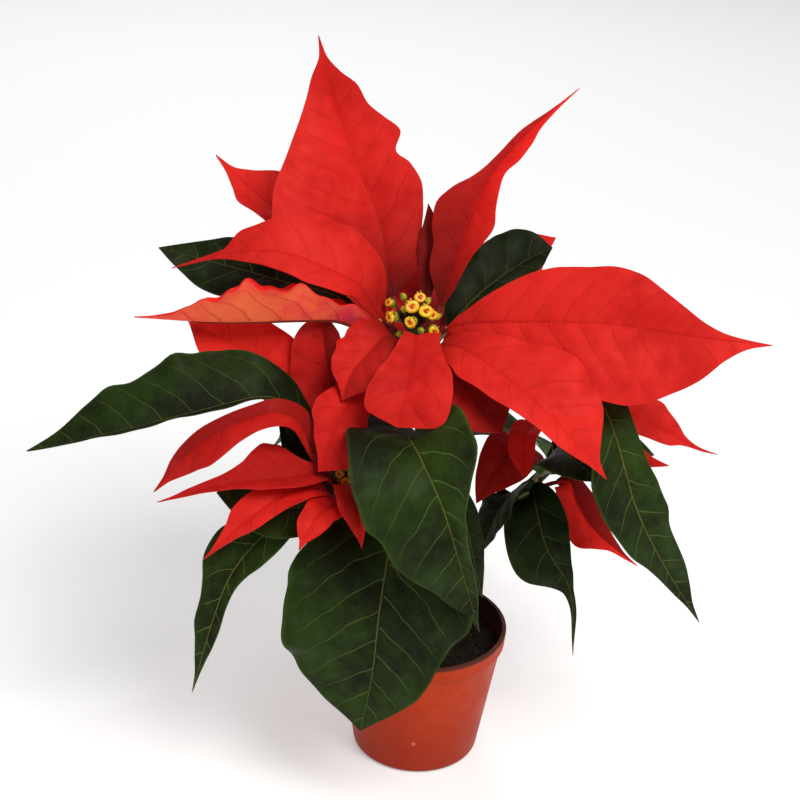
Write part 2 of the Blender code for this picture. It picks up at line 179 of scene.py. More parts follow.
def put(tree, kind, settings=None, **inputs):
    """One node with its settings and inputs; an underscore in a name is a space."""
    node = tree.nodes.new(kind)
    for key, value in (settings or {}).items():
        setattr(node, key, value)
    for key, value in inputs.items():
        feed(tree, node.inputs[key.replace("_", " ")], value)
    return node


def calc(tree, operation, a, b=None, c=None, clamp=False):
    node = tree.nodes.new("ShaderNodeMath")
    node.operation = operation
    node.use_clamp = clamp
    for socket, value in zip(node.inputs, (a, b, c)):
        feed(tree, socket, value)
    return node.outputs[0]


def soft_step(tree, value, low, high, out_low=0.0, out_high=1.0):
    """Goes smoothly from out_low to out_high while value goes from low to high."""
    node = tree.nodes.new("ShaderNodeMapRange")
    node.interpolation_type = "SMOOTHSTEP"
    for socket, number in zip(node.inputs, (value, low, high, out_low, out_high)):
        feed(tree, socket, number)
    return node.outputs[0]


def mix(tree, share, a, b, mode="MIX"):
    """Two colours mixed by a share, or multiplied, or otherwise put together."""
    node = tree.nodes.new("ShaderNodeMix")
    node.data_type = "RGBA"
    node.blend_type = mode
    feed(tree, node.inputs[0], share)
    feed(tree, node.inputs[6], a)
    feed(tree, node.inputs[7], b)
    return node.outputs[2]


def node_group(name, inputs, outputs):
    tree = bpy.data.node_groups.new(name, "ShaderNodeTree")
    for label, kind in inputs:
        tree.interface.new_socket(label, in_out="INPUT", socket_type=kind)
    for label, kind in outputs:
        tree.interface.new_socket(label, in_out="OUTPUT", socket_type=kind)
    return tree, tree.nodes.new("NodeGroupInput"), tree.nodes.new("NodeGroupOutput")


def use_group(tree, group, **inputs):
    node = tree.nodes.new("ShaderNodeGroup")
    node.node_tree = group
    for key, value in inputs.items():
        feed(tree, node.inputs[key.replace("_", " ")], value)
    return node


print("scarlet as amounts of light:", [round(x, 3) for x in paint(220, 37, 29)])

# %% [markdown]
# ## Veins, shared by every leaf and bract
#
# A poinsettia blade has one thick midrib, pairs of side veins that leave it at about
# 50 degrees and bend towards the tip, and a fine net between them. Each blade carries
# its own map for this: how far a spot lies from the midrib in millimetres, a count that
# grows by one from vein to vein, and the share of the way to the tip. So one group can
# draw the veins of a 3 cm bract and of a 14 cm leaf.

# %% Group: veins
rib_at_base, rib_thinning = 0.62, -0.50  # half-width of the midrib in mm, and its change to the tip
vein_wander = 0.34  # how far a side vein strays, as a share of the gap between two
net_strength, grain_strength = 0.07, 0.22  # in the relief, where the midrib is 1

veins, veins_in, veins_out = node_group(
    "blade veins",
    [("Side Vein Width", "NodeSocketFloat"), ("Net Scale", "NodeSocketFloat")],
    [(label, "NodeSocketFloat") for label in ("Midrib", "Side Veins", "Net", "Margin", "Relief")],
)
t = veins
place = put(t, "ShaderNodeAttribute", {"attribute_name": "vein_map"}).outputs["Vector"]
spot = put(t, "ShaderNodeSeparateXYZ", Vector=place)
point = put(t, "ShaderNodeTexCoord").outputs["Object"]
wander = put(t, "ShaderNodeTexNoise", Vector=point, Scale=90.0, Detail=1.0).outputs["Fac"]
off_rib = calc(t, "ABSOLUTE", spot.outputs["X"])
share = spot.outputs["Z"]
edge = put(t, "ShaderNodeAttribute", {"attribute_name": "edge_share"}).outputs["Fac"]
rib_half = calc(t, "MULTIPLY_ADD", share, rib_thinning, rib_at_base)
midrib = soft_step(t, off_rib, calc(t, "MULTIPLY", rib_half, 0.45), rib_half, 1.0, 0.0)
strayed = calc(t, "MULTIPLY_ADD", wander, vein_wander, -vein_wander / 2)
count = calc(t, "ADD", spot.outputs["Y"], strayed)
beside = calc(t, "ABSOLUTE", calc(t, "SUBTRACT", calc(t, "FRACT", count), 0.5))
thin = calc(t, "MULTIPLY_ADD", edge, -0.6, 1.0)
vein_half = calc(t, "MULTIPLY", thin, veins_in.outputs["Side Vein Width"])
side_line = soft_step(t, beside, calc(t, "MULTIPLY", vein_half, 0.3), vein_half, 1.0, 0.0)
fade = soft_step(t, edge, 0.72, 1.0, 1.0, 0.0)
side_veins = calc(t, "MULTIPLY", side_line, fade)
cells = put(
    t, "ShaderNodeTexVoronoi", {"feature": "DISTANCE_TO_EDGE"},
    Vector=point, Scale=veins_in.outputs["Net Scale"],
).outputs["Distance"]
net = soft_step(t, cells, 0.0, 0.09, 1.0, 0.0)
swell = soft_step(t, beside, 0.0, 0.5, 0.0, 1.0)
low_lines = calc(t, "MAXIMUM", midrib, calc(t, "MULTIPLY", side_veins, 0.7))
low_lines = calc(t, "MAXIMUM", low_lines, calc(t, "MULTIPLY", net, net_strength))
grain = put(t, "ShaderNodeTexNoise", Vector=point, Scale=1500.0, Detail=2.0).outputs["Fac"]
relief = calc(t, "SUBTRACT", calc(t, "MULTIPLY", swell, 0.35), low_lines)
relief = calc(t, "ADD", relief, calc(t, "MULTIPLY", grain, grain_strength))
margin_line = soft_step(t, edge, 0.93, 1.0, 0.0, 1.0)
for socket, value in zip(veins_out.inputs, (midrib, side_veins, net, margin_line, relief)):
    feed(t, socket, value)
print("nodes in the vein group:", len(veins.nodes))

# %% [markdown]
# ## Uneven colour, shared by everything that grows
#
# No living surface has one colour. A broad cloud and a fine one are added, at sizes
# given in repeats per metre, because the frame is in metres. The broad one counts most.

# %% Group: cloudy colour
broad_share = 0.65

clouds, clouds_in, clouds_out = node_group(
    "cloudy colour",
    [("Broad", "NodeSocketFloat"), ("Fine", "NodeSocketFloat")],
    [("Share", "NodeSocketFloat")],
)
t = clouds
point = put(t, "ShaderNodeTexCoord").outputs["Object"]
broad = put(t, "ShaderNodeTexNoise", Vector=point, Scale=clouds_in.outputs["Broad"], Detail=2.0)
fine = put(t, "ShaderNodeTexNoise", Vector=point, Scale=clouds_in.outputs["Fine"], Detail=3.0)
fine_part = calc(t, "MULTIPLY", fine.outputs["Fac"], 1 - broad_share)
both = calc(t, "MULTIPLY_ADD", broad.outputs["Fac"], broad_share, fine_part)
feed(t, clouds_out.inputs["Share"], soft_step(t, both, 0.34, 0.66))
print("nodes in the cloud group:", len(clouds.nodes))

# %% [markdown]
# ## The four faces of leaves and bracts
#
# The upper face of a bract is a velvety scarlet with slightly darker veins; below it is
# paler, more orange and pink, with raised veins, and a small painted glow stands in for
# light shining through it. A leaf is a deep green with thin yellow-green veins above, and
# a duller grey-green below. Each blade also carries one number of painted light and
# shade, with a small random part, that makes it brighter or darker than its neighbours.
# One function mixes all four, because only their colours and strengths differ.

# %% Finish of a blade's face
net_per_metre = 330.0
blade_clouds = {"Broad": 24.0, "Fine": 170.0}


def blade_finish(name, deep, bright, vein, rib, margin, strengths, values, relief, up=1.0):
    """strengths are the shares with which side veins, midrib, net and margin show."""
    made = bpy.data.materials.new(name)
    made.use_nodes = True
    t = made.node_tree
    lines = use_group(t, veins, Side_Vein_Width=values["side_vein"], Net_Scale=net_per_metre)
    cloud = use_group(t, clouds, **blade_clouds)
    painted_light_and_tone = put(t, "ShaderNodeAttribute", {"attribute_name": "painted_light_and_tone"}).outputs["Fac"]
    colour = mix(t, cloud.outputs["Share"], deep, bright)
    if "base" in values:
        share = put(t, "ShaderNodeAttribute", {"attribute_name": "vein_map"}).outputs["Vector"]
        share = put(t, "ShaderNodeSeparateXYZ", Vector=share).outputs["Z"]
        share = calc(t, "MULTIPLY_ADD", cloud.outputs["Share"], 0.25, share)
        colour = mix(t, soft_step(t, share, 0.2, 0.62, 0.85, 0.0), colour, values["base"])
    side_strength, rib_strength, net_share, margin_strength = strengths
    for line, shown, line_colour in (
        ("Net", net_share, vein), ("Side Veins", side_strength, vein),
        ("Midrib", rib_strength, rib), ("Margin", margin_strength, margin),
    ):
        colour = mix(t, calc(t, "MULTIPLY", lines.outputs[line], shown), colour, line_colour)
    # The blade's number of painted light and shade makes its colour brighter or darker.
    grey = put(t, "ShaderNodeCombineColor", Red=painted_light_and_tone, Green=painted_light_and_tone, Blue=painted_light_and_tone).outputs["Color"]
    colour = mix(t, 1.0, colour, grey, "MULTIPLY")
    bump = put(
        t, "ShaderNodeBump", Strength=relief[0], Distance=relief[1],
        Height=calc(t, "MULTIPLY", lines.outputs["Relief"], up),
    )
    shader = t.nodes["Principled BSDF"]
    feed(t, shader.inputs["Base Color"], colour)
    feed(t, shader.inputs["Normal"], bump.outputs["Normal"])
    feed(t, shader.inputs["Roughness"], soft_step(t, cloud.outputs["Share"], 0.0, 1.0, *values["rough"]))
    # Emission is a painted glow. Only the bract's underside uses it, for light shining through the thin
    # blade.
    feed(t, shader.inputs["Emission Color"], colour)
    shader.inputs["Emission Strength"].default_value = values.get("painted_glow", 0.0)
    shader.inputs["Specular IOR Level"].default_value = values["gloss"]
    shader.inputs["Sheen Weight"].default_value = values.get("sheen", 0.0)
    shader.inputs["Sheen Roughness"].default_value = 0.5
    shader.inputs["Sheen Tint"].default_value = bright
    return made


bract_face = blade_finish(
    "bract face", paint(190, 24, 20), paint(220, 37, 29), paint(148, 8, 14), paint(160, 16, 18),
    paint(205, 40, 36), (0.13, 0.22, 0.03, 0.2),
    {"side_vein": 0.075, "rough": (0.72, 0.6), "gloss": 0.12, "sheen": 0.05}, (0.45, 0.0006),
)
# The underside gets a small painted glow, for light shining through the thin bract.
bract_back = blade_finish(
    "bract back", paint(222, 50, 56), paint(232, 104, 62), paint(186, 40, 46), paint(206, 110, 76),
    paint(206, 34, 36), (0.5, 0.6, 0.2, 0.6),
    {"side_vein": 0.09, "rough": (0.75, 0.65), "gloss": 0.14, "painted_glow": 0.12, "base": paint(214, 44, 78)},
    (0.55, 0.0008), -1.0,
)
leaf_face = blade_finish(
    "leaf face", paint(20, 26, 8), paint(40, 58, 17), paint(104, 120, 56), paint(116, 108, 56),
    paint(66, 92, 34), (0.42, 0.65, 0.03, 0.3),
    {"side_vein": 0.038, "rough": (0.58, 0.46), "gloss": 0.08}, (0.6, 0.0008),
)
leaf_back = blade_finish(
    "leaf back", paint(56, 84, 40), paint(78, 106, 54), paint(116, 140, 76), paint(134, 150, 86),
    paint(70, 98, 46), (0.6, 0.8, 0.2, 0.3),
    {"side_vein": 0.07, "rough": (0.8, 0.7), "gloss": 0.12}, (0.6, 0.0009), -1.0,
)
print("nodes on a bract's face:", len(bract_face.node_tree.nodes))

# %% [markdown]
# ## Stalks, stems, flowers
#
# The stalks of the bracts are flushed with red and those of the leaves are yellow-green.
# The woody stems below are a dull green with paler pores. Flower cups are fresh green,
# the lip-shaped nectar gland on each is yellow, and the pollen threads on top are red.

# %% Plain growing finishes
def growing_finish(name, dark, light, broad, fine, rough, gloss, relief, spots=None):
    """Clouds of two colours; spots are the colour of pores and their number per metre."""
    made = bpy.data.materials.new(name)
    made.use_nodes = True
    t = made.node_tree
    cloud = use_group(t, clouds, Broad=broad, Fine=fine)
    colour = mix(t, cloud.outputs["Share"], dark, light)
    point = put(t, "ShaderNodeTexCoord").outputs["Object"]
    height = put(t, "ShaderNodeTexNoise", Vector=point, Scale=fine * 4, Detail=3.0).outputs["Fac"]
    if spots:
        cells = put(t, "ShaderNodeTexVoronoi", Vector=point, Scale=spots[1]).outputs["Distance"]
        spot = soft_step(t, cells, 0.08, 0.22, 1.0, 0.0)
        colour = mix(t, calc(t, "MULTIPLY", spot, 0.7), colour, spots[0])
        height = calc(t, "MULTIPLY_ADD", spot, 0.6, height)
    bump = put(t, "ShaderNodeBump", Strength=relief[0], Distance=relief[1], Height=height)
    shader = t.nodes["Principled BSDF"]
    feed(t, shader.inputs["Base Color"], colour)
    feed(t, shader.inputs["Normal"], bump.outputs["Normal"])
    feed(t, shader.inputs["Roughness"], soft_step(t, cloud.outputs["Share"], 0.0, 1.0, *rough))
    shader.inputs["Specular IOR Level"].default_value = gloss
    return made


bract_stalk = growing_finish(
    "bract stalk", paint(96, 18, 14), paint(128, 44, 26), 60.0, 400.0, (0.7, 0.6), 0.15, (0.3, 0.0003))
leaf_stalk = growing_finish(
    "leaf stalk", paint(86, 112, 48), paint(130, 120, 62), 60.0, 400.0, (0.55, 0.4), 0.35, (0.3, 0.0003))
stem_bark = growing_finish(
    "stem bark", paint(44, 54, 26), paint(74, 80, 40), 45.0, 260.0, (0.75, 0.55), 0.3,
    (0.6, 0.0006), (paint(150, 140, 100), 420.0))
cup_green = growing_finish(
    "flower cup", paint(112, 136, 24), paint(196, 192, 44), 150.0, 700.0, (0.5, 0.38), 0.4, (0.25, 0.0002))
# A dark ball under each flower head is painted shade between the flowers.
head_painted_shade = growing_finish(
    "flower head base", paint(40, 26, 14), paint(66, 50, 22), 120.0, 500.0, (0.8, 0.7), 0.1, (0.3, 0.0003))
gland_yellow = growing_finish(
    "nectar gland", paint(236, 158, 12), paint(252, 214, 40), 160.0, 900.0, (0.34, 0.22), 0.55,
    (0.15, 0.0002))
thread_red = growing_finish(
    "pollen thread", paint(150, 16, 12), paint(214, 52, 26), 200.0, 900.0, (0.55, 0.4), 0.35, (0.2, 0.0002))
pollen = growing_finish(
    "pollen", paint(214, 150, 40), paint(246, 206, 80), 300.0, 1500.0, (0.95, 0.85), 0.2, (0.5, 0.0002))
print("finishes so far:", len(bpy.data.materials))

# %% [markdown]
# ## A line through points
#
# Every stem and stalk follows a smooth curve through a few points. The curve is stepped
# evenly, so that a share of its length is also a share of its steps, and slightly
# evened out, because a growing shoot has no sudden bends.

# %% Curves
steps_between = 24  # steps of the curve from one point to the next


def smooth_path(points, count):
    """Even steps along a smooth curve through the points, in millimetres."""
    p = np.array(points, float)
    p = np.vstack([2 * p[0] - p[1], p, 2 * p[-1] - p[-2]])
    run = []
    for a, b, c, d in zip(p[:-3], p[1:-2], p[2:-1], p[3:]):
        for s in np.linspace(0.0, 1.0, steps_between, endpoint=False):
            square, cube = s * s, s * s * s
            bend = 2 * a - 5 * b + 4 * c - d
            run.append((2 * b + (c - a) * s + bend * square + (3 * b - a - 3 * c + d) * cube) / 2)
    run.append(p[-2])
    run = np.array(run)
    along = np.concatenate([[0.0], np.cumsum(np.linalg.norm(np.diff(run, axis=0), axis=1))])
    steps = np.linspace(0.0, along[-1], count)
    return np.column_stack([np.interp(steps, along, run[:, k]) for k in range(3)])


def evened(run, rounds):
    """Each point moves towards the middle of its two neighbours, in several rounds."""
    run = run.copy()
    for _ in range(rounds):
        run[1:-1] = (run[:-2] + 2 * run[1:-1] + run[2:]) / 4
    return run


def unit(vectors):
    return vectors / np.linalg.norm(vectors, axis=-1, keepdims=True)


def through(values, shares, at):
    """A curve through values at the shares, with no overshoot between two of them."""
    x, y = np.array(shares, float), np.array(values, float)
    step = np.diff(x)
    slope = np.diff(y) / step
    lean = np.zeros(len(y))
    same = slope[:-1] * slope[1:] > 0
    lean[1:-1][same] = 2 / (1 / slope[:-1][same] + 1 / slope[1:][same])
    lean[0], lean[-1] = slope[0], slope[-1]
    k = np.clip(np.searchsorted(x, at) - 1, 0, len(step) - 1)
    s = (at - x[k]) / step[k]
    h00, h10 = 2 * s**3 - 3 * s**2 + 1, s**3 - 2 * s**2 + s
    h01, h11 = 3 * s**2 - 2 * s**3, s**3 - s**2
    return h00 * y[k] + h10 * step[k] * lean[k] + h01 * y[k + 1] + h11 * step[k] * lean[k + 1]


bow = smooth_path([(0, 0, 0), (10, 0, 5), (20, 0, 0)], 41)
print("a flat bow 20 mm wide is", round(np.linalg.norm(np.diff(bow, axis=0), axis=1).sum(), 1), "mm long")

# %% [markdown]
# ## A tube along a line
#
# Stems, stalks and pollen threads are round and grow thinner. A curve with a bevel gives
# such a tube, with a radius of its own at every point. It is turned into a mesh, its
# doubled points are merged and its faces made to look outwards. Two more helpers join
# parts into one piece and say which plain solid a finished piece stands in for.

# %% Tube, joining, standing in
def tube(name, line, radii, finish, sides_level):
    """A round tube along a line in millimetres, with its own radius at every point."""
    curve = bpy.data.curves.new(name, "CURVE")
    curve.dimensions = "3D"
    curve.bevel_depth = MM
    curve.bevel_resolution = sides_level
    curve.use_fill_caps = True
    spline = curve.splines.new("POLY")
    spline.points.add(len(line) - 1)
    spline.points.foreach_set("co", np.column_stack([line * MM, np.ones(len(line))]).ravel())
    spline.points.foreach_set("radius", np.array(radii, float))
    made = bpy.data.objects.new(name, curve)
    bpy.context.scene.collection.objects.link(made)
    made.data.materials.append(finish)
    bpy.ops.object.select_all(action="DESELECT")
    made.select_set(True)
    bpy.context.view_layer.objects.active = made
    bpy.ops.object.convert(target="MESH")
    bpy.ops.object.mode_set(mode="EDIT")
    bpy.ops.mesh.select_all(action="SELECT")
    bpy.ops.mesh.remove_doubles(threshold=1e-6)
    bpy.ops.mesh.normals_make_consistent(inside=False)
    bpy.ops.object.mode_set(mode="OBJECT")
    bpy.ops.object.shade_smooth_by_angle(angle=math.radians(60))
    return bpy.context.object


def joined(name, parts):
    bpy.ops.object.select_all(action="DESELECT")
    for part in parts:
        part.select_set(True)
    bpy.context.view_layer.objects.active = parts[0]
    bpy.ops.object.join()
    made = bpy.context.object
    made.name = name
    return made


def stand_in(piece, node):
    """The piece takes the place of a plain solid and of its finish."""
    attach(piece, "root")
    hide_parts(node)


# %% [markdown]
# ## Stems
#
# One main stem rises from the soil and three branches leave it. A poinsettia's stem is
# a little swollen where a leaf stands or stood, and each fallen leaf has left a low
# ring. So the tube's radius is the tapering one plus a small bump at every such place.

# %% Stems
path_points, bark_points = 81, 161
bark_share = 0.97  # the bark's tube lies just inside the plain solid
first_knot, knot_gap = 9.0, 17.0
knot_swell, scar_groove = 0.34, 0.12

# Points of each line, radius at the foot and at the top, in millimetres
stems = {
    "main_stem": ([(0, 3, 56.4), (2, 5, 100), (-2, 0, 150), (-7, -7, 195), (-10, -11, 220)], 4.6, 3.0),
    "left_branch": ([(-4, 0, 92), (-16, -12, 116), (-30, -34, 144), (-35, -49, 163)], 3.2, 2.6),
    "right_branch": ([(8.5, 6, 88), (24, 9, 112), (48, 13, 134), (60, 15, 148)], 3.2, 2.6),
    "back_branch": ([(0, 12.4, 96.5), (-2, 24, 124), (-4, 40, 152), (-5, 52, 176)], 3.2, 2.6),
}
stem_lines = {}
for name, (line, radius_below, radius_above) in stems.items():
    path = smooth_path(line, path_points)
    stem_lines[name] = (path, np.linspace(radius_below, radius_above, path_points))
    fine = smooth_path(line, bark_points)
    radii = np.linspace(radius_below, radius_above, bark_points) * bark_share
    height = fine[:, 2]
    for knot in np.arange(height[0] + first_knot, height[-1], knot_gap):
        radii += knot_swell * np.exp(-(((height - knot) / 1.5) ** 2))
        radii -= scar_groove * np.exp(-((height - knot - 2.2) ** 2))
    piece = tube(name + "_bark", fine, radii, stem_bark, 6)
    stand_in(piece, name)
    print(name, "is", round(np.linalg.norm(np.diff(path, axis=0), axis=1).sum()), "mm long")

# %% [markdown]
# ## How a blade is made
#
# A leaf starts as a flat grid, as cut from a sheet. The grid's points are then laid
# along the leaf's own line: each row turns square to the line and is as wide as the
# leaf is there. The two halves lift from the midrib, arch a little, sink along the
# veins and ripple towards the margin, because the margin grows longer than the midrib.
# A Solidify modifier gives it thickness and its own finish underneath, and a tapering
# tube below is the stalk that runs on as the midrib's ridge.
#
# The line comes first. It leaves the stem's skin square to the stem and goes through a
# few points to the tip. At each share of it a blade has a sideways and an upward
# direction, and both turn about the line from base to tip.

# %% Line of a blade
line_points, line_rounds = 281, 90
skin_gap, straight_start = 0.4, 2.5


def blade_line(stem_name, height, line):
    path, radius = stem_lines[stem_name]
    i = int(np.argmin(abs(path[:, 2] - height)))
    axis = unit(path[min(i + 1, path_points - 1)] - path[i - 1])
    out = np.array(line[0], float) - path[i]
    out = unit(out - (out @ axis) * axis)
    foot = path[i] + out * (radius[i] + skin_gap)
    return evened(smooth_path([foot, foot + out * straight_start] + list(line), line_points), line_rounds)


def frame_along(run, turn, shares):
    """Places, sideways directions and upward directions at the shares of a line."""
    along = unit(np.gradient(run, axis=0))
    bearing = run[-1] - run[0]
    bearing[2] = 0.0
    side = np.cross(unit(bearing), (0.0, 0.0, 1.0))
    at = shares * (len(run) - 1)
    where = np.column_stack([np.interp(at, np.arange(len(run)), run[:, k]) for k in range(3)])
    t = unit(np.column_stack([np.interp(at, np.arange(len(run)), along[:, k]) for k in range(3)]))
    s = unit(side - (t @ side)[:, None] * t)
    up = np.cross(s, t)
    angle = np.radians(turn[0] + (turn[1] - turn[0]) * shares)[:, None]
    return where, s * np.cos(angle) + up * np.sin(angle), up * np.cos(angle) - s * np.sin(angle)


# %% [markdown]
# ## The blank and its width
#
# Every point of the flat grid has a place across, u, from -1 at the left margin to 1 at
# the right one, and a place along, w, from 0 at the base to 1 at the tip. Columns crowd
# at the midrib and rows at the tip, where the shape is finest. The half-widths of a
# blade are joined by a curve, and the margin is made slightly uneven, because no two
# leaves are cut alike.

# %% Blank and half-widths
base_half_width, tip_half_width = 0.88, 0.1
uneven_margin = 0.018
one_turn = 6.28


def blank(name, columns, rows):
    bpy.ops.object.select_all(action="DESELECT")
    bpy.ops.mesh.primitive_grid_add(x_subdivisions=columns, y_subdivisions=rows, size=2.0)
    piece = bpy.context.object
    piece.name = name + "_blade"
    flat = np.zeros(len(piece.data.vertices) * 3)
    piece.data.vertices.foreach_get("co", flat)
    flat = flat.reshape(-1, 3)
    u = flat[:, 0] * (0.5 + 0.5 * abs(flat[:, 0]))
    w = (flat[:, 1] + 1) / 2
    return piece, u, w * (1 - 0.12 * w**3) / 0.88


def two_phases(u, rng):
    """One random phase for the left half and one for the right."""
    return np.where(u < 0, rng.uniform(0, one_turn), rng.uniform(0, one_turn))


def half_widths(left, right, u, w, rng):
    """From the midrib to the margin, on the side where each point lies."""
    shares = np.linspace(0.0, 1.0, len(left) + 2)
    half_left = through([base_half_width, *left, tip_half_width], shares, w)
    half_right = through([base_half_width, *right, tip_half_width], shares, w)
    uneven = np.zeros(len(u))
    for k in range(4):
        phase = two_phases(u, rng)
        uneven += np.sin(w * (9 + 8 * k + rng.uniform(0, 4)) + phase) / (1.0 + k)
    return np.where(u < 0, half_left, half_right) * (1 + uneven_margin * uneven * np.sin(np.pi * w))


# %% [markdown]
# ## Fold and relief
#
# Each half folds up from the midrib by its own angle, less at the very base. On top of
# that the face swells between the side veins, has a groove over the midrib, arches from
# midrib to margin, ripples at the margin and buckles slowly from base to tip. The side
# veins come in pairs, those on the left half a step behind those on the right.

# %% Fold
# Extra lift of the left and right half at the base, in degrees
base_lifts = {"leaf_front_upper": (-60.0, 80.0), "leaf_right_inner": (0.0, 70.0)}
base_lift_reach = 0.4


def folded(name, u, w, across, fold):
    """How far sideways and how far up the fold carries each point."""
    angle = np.where(u < 0, math.radians(fold[0]), math.radians(fold[1]))
    angle = angle * through([0.35, 1.0, 1.0], [0, 0.12, 1.0], w)
    lift_left, lift_right = base_lifts.get(name, (0.0, 0.0))
    near_base = np.clip(1 - w / base_lift_reach, 0, 1)
    angle = angle + np.radians(np.where(u < 0, lift_left, lift_right)) * near_base
    rounded = np.sqrt(across**2 + 1.0) - 1.0
    return across * np.cos(angle), rounded * np.sin(angle)


# %% Relief
vein_gap = 12.5
fewest_pairs, most_pairs = 5.0, 11.0
vein_swell, rib_groove, half_arch, slow_buckle = 0.42, 0.35, 0.055, 0.25
# How strongly the margin ripples, and how many ripples there are
usual_ripple = (0.055, 3.0)
ripples = {
    "bract_folded": (0.10, 5.0), "leaf_left": (0.08, 4.0),
    "bract_top": (0.05, 2.0), "bract_right": (0.05, 2.0),
}


def vein_count(u, w, across, half, length):
    """A count that grows by one from side vein to side vein."""
    pairs = max(fewest_pairs, min(most_pairs, round(length / vein_gap)))
    slant = 0.55 * across + 0.30 * across**2 / (half + 1.0)
    return pairs * w - slant / (length / pairs) + np.where(u < 0, 0.5, 0.0)


def relief_of(name, u, w, across, half, count, rng):
    """How far each point of the face stands over the plain fold, in millimetres."""
    beside = abs(np.mod(count, 1.0) - 0.5) * 2
    body = np.clip(half / 20.0, 0.25, 1.2) * (1 - abs(u) ** 4) * np.clip(across / 3.0, 0, 1)
    lift = vein_swell * body * (np.sin(beside * np.pi / 2) - 0.6)
    lift = lift - rib_groove * np.exp(-(across**2)) * np.clip(half / 8.0, 0, 1)
    lift = lift + half_arch * half * np.sin(np.pi * abs(u)) * np.sin(np.pi * w)
    ripple, waves = ripples.get(name, usual_ripple)
    phase = two_phases(u, rng)
    wave = np.sin(2 * np.pi * waves * w + phase) + 0.5 * np.sin(2 * np.pi * waves * 2.3 * w + 2 * phase)
    lift = lift + ripple * half * abs(u) ** 2.2 * wave * np.sin(np.pi * w) ** 0.5
    return lift + slow_buckle * np.sin(2 * np.pi * 1.3 * w + rng.uniform(0, one_turn)) * np.sin(np.pi * w)


# %% [markdown]
# ## Painted light and shade on the blades
#
# Near the flowers the bracts stand close and shade each other, and the two halves of a
# folded blade catch the light differently. This is painted into the colour as light and
# shade: each blade carries one number at every point, by which its finish multiplies
# the colour.

# %% Painted light and shade
# How much painted shade darkens a blade at its base, and the share of its length this takes
usual_painted_shade = (0.35, 0.3)
painted_base_shades = {
    "bract_top": (0.85, 0.38), "bract_top_right": (0.75, 0.5), "bract_left": (0.5, 0.3),
    "bract_right": (0.3, 0.2), "bract_lower_right": (0.4, 0.25), "bract_front": (0.15, 0.2),
    "bract_lower_left": (0.75, 0.5), "bract_hanging": (0.85, 0.45), "bract_centre": (0.7, 0.6),
    "bract_left_high": (0.3, 0.4), "bract_left_upright": (0.8, 0.6), "bract_under": (0.7, 0.6),
    "leaf_front_upper": (0.5, 0.12),
}
# Painted light and shade: brightness of the left and right half
painted_half_light = {
    "bract_folded": (1.25, 1.25), "bract_top_right": (0.68, 1.3), "bract_under": (0.32, 0.42),
    "bract_centre": (0.3, 0.3), "bract_left_low": (0.85, 0.75), "bract_left_upright": (0.8, 0.4),
    "bract_left_mid": (0.9, 0.55), "bract_hanging": (0.9, 0.95), "bract_lower_left": (0.65, 0.92),
    "bract_right_inner": (0.55, 0.5), "bract_left_high": (1.15, 1.15), "bract_right_down": (0.45, 1.5),
    "bract_front": (0.98, 0.92), "bract_far_left": (1.05, 1.0), "leaf_left": (0.7, 0.85),
    "leaf_top_left": (0.8, 0.8), "leaf_top_right": (0.5, 0.5), "leaf_lower_left": (1.5, 1.3),
    "leaf_right": (1.2, 1.1), "leaf_lower_centre": (0.75, 0.75), "leaf_lower_inner": (0.5, 0.5),
    "leaf_front_upper": (1.5, 0.95), "leaf_behind_front": (0.5, 0.5), "leaf_right_inner": (0.9, 0.9),
    "leaf_left_inner": (0.5, 0.5),
}


# Painted light and shade of every point: the half's brightness, a small random change of tone, and painted
# shade towards the base.
def painted_light_of(name, u, w, rng):
    painted_light_left, painted_light_right = painted_half_light.get(name, (1.0, 1.0))
    shade_most, shade_reach = painted_base_shades.get(name, usual_painted_shade)
    painted_light_and_tone = np.interp(u, [-0.06, 0.06], [painted_light_left, painted_light_right]) * rng.uniform(0.96, 1.04)
    return painted_light_and_tone * (1 - shade_most * np.clip(1 - w / shade_reach, 0, 1) ** 1.2)


print("blades with a tone of their own:", len(painted_half_light))

# %% [markdown]
# ## Putting a blade together
#
# The stalk is thickest at the stem and sinks under the blade as it becomes the midrib's
# ridge. Every blade draws its small irregularities from numbers seeded by its name, so
# it comes out the same each time. The largest blades get a finer grid.

# %% Blade
rng_seed = 20
blade_thickness = 0.45
face_over_line = 0.2
large_blade = 40
large_grid, small_grid = (36, 100), (24, 60)


def write_map(piece, name, values):
    kind, key = ("FLOAT", "value") if values.ndim == 1 else ("FLOAT_VECTOR", "vector")
    piece.data.attributes.new(name, kind, "POINT").data.foreach_set(key, values.ravel())


def stalk_of(name, run, stalk, turn, finish):
    ends = np.linspace(0.0, stalk + 0.80 * (1 - stalk), 40)
    middle, _, rib_up = frame_along(run, turn, ends)
    radii = np.interp(
        ends, [0.0, 0.04, stalk, stalk + 0.3 * (1 - stalk), ends[-1]], [1.35, 1.05, 0.95, 0.62, 0.16])
    sink = np.interp(ends, [0.0, stalk * 0.75, stalk * 1.1, ends[-1]], [0.0, 0.0, 1.0, 1.0])
    middle = middle - rib_up * (sink * (radii * 0.9 + 0.6))[:, None]
    return tube(name + "_rib", middle, radii, finish, 2)


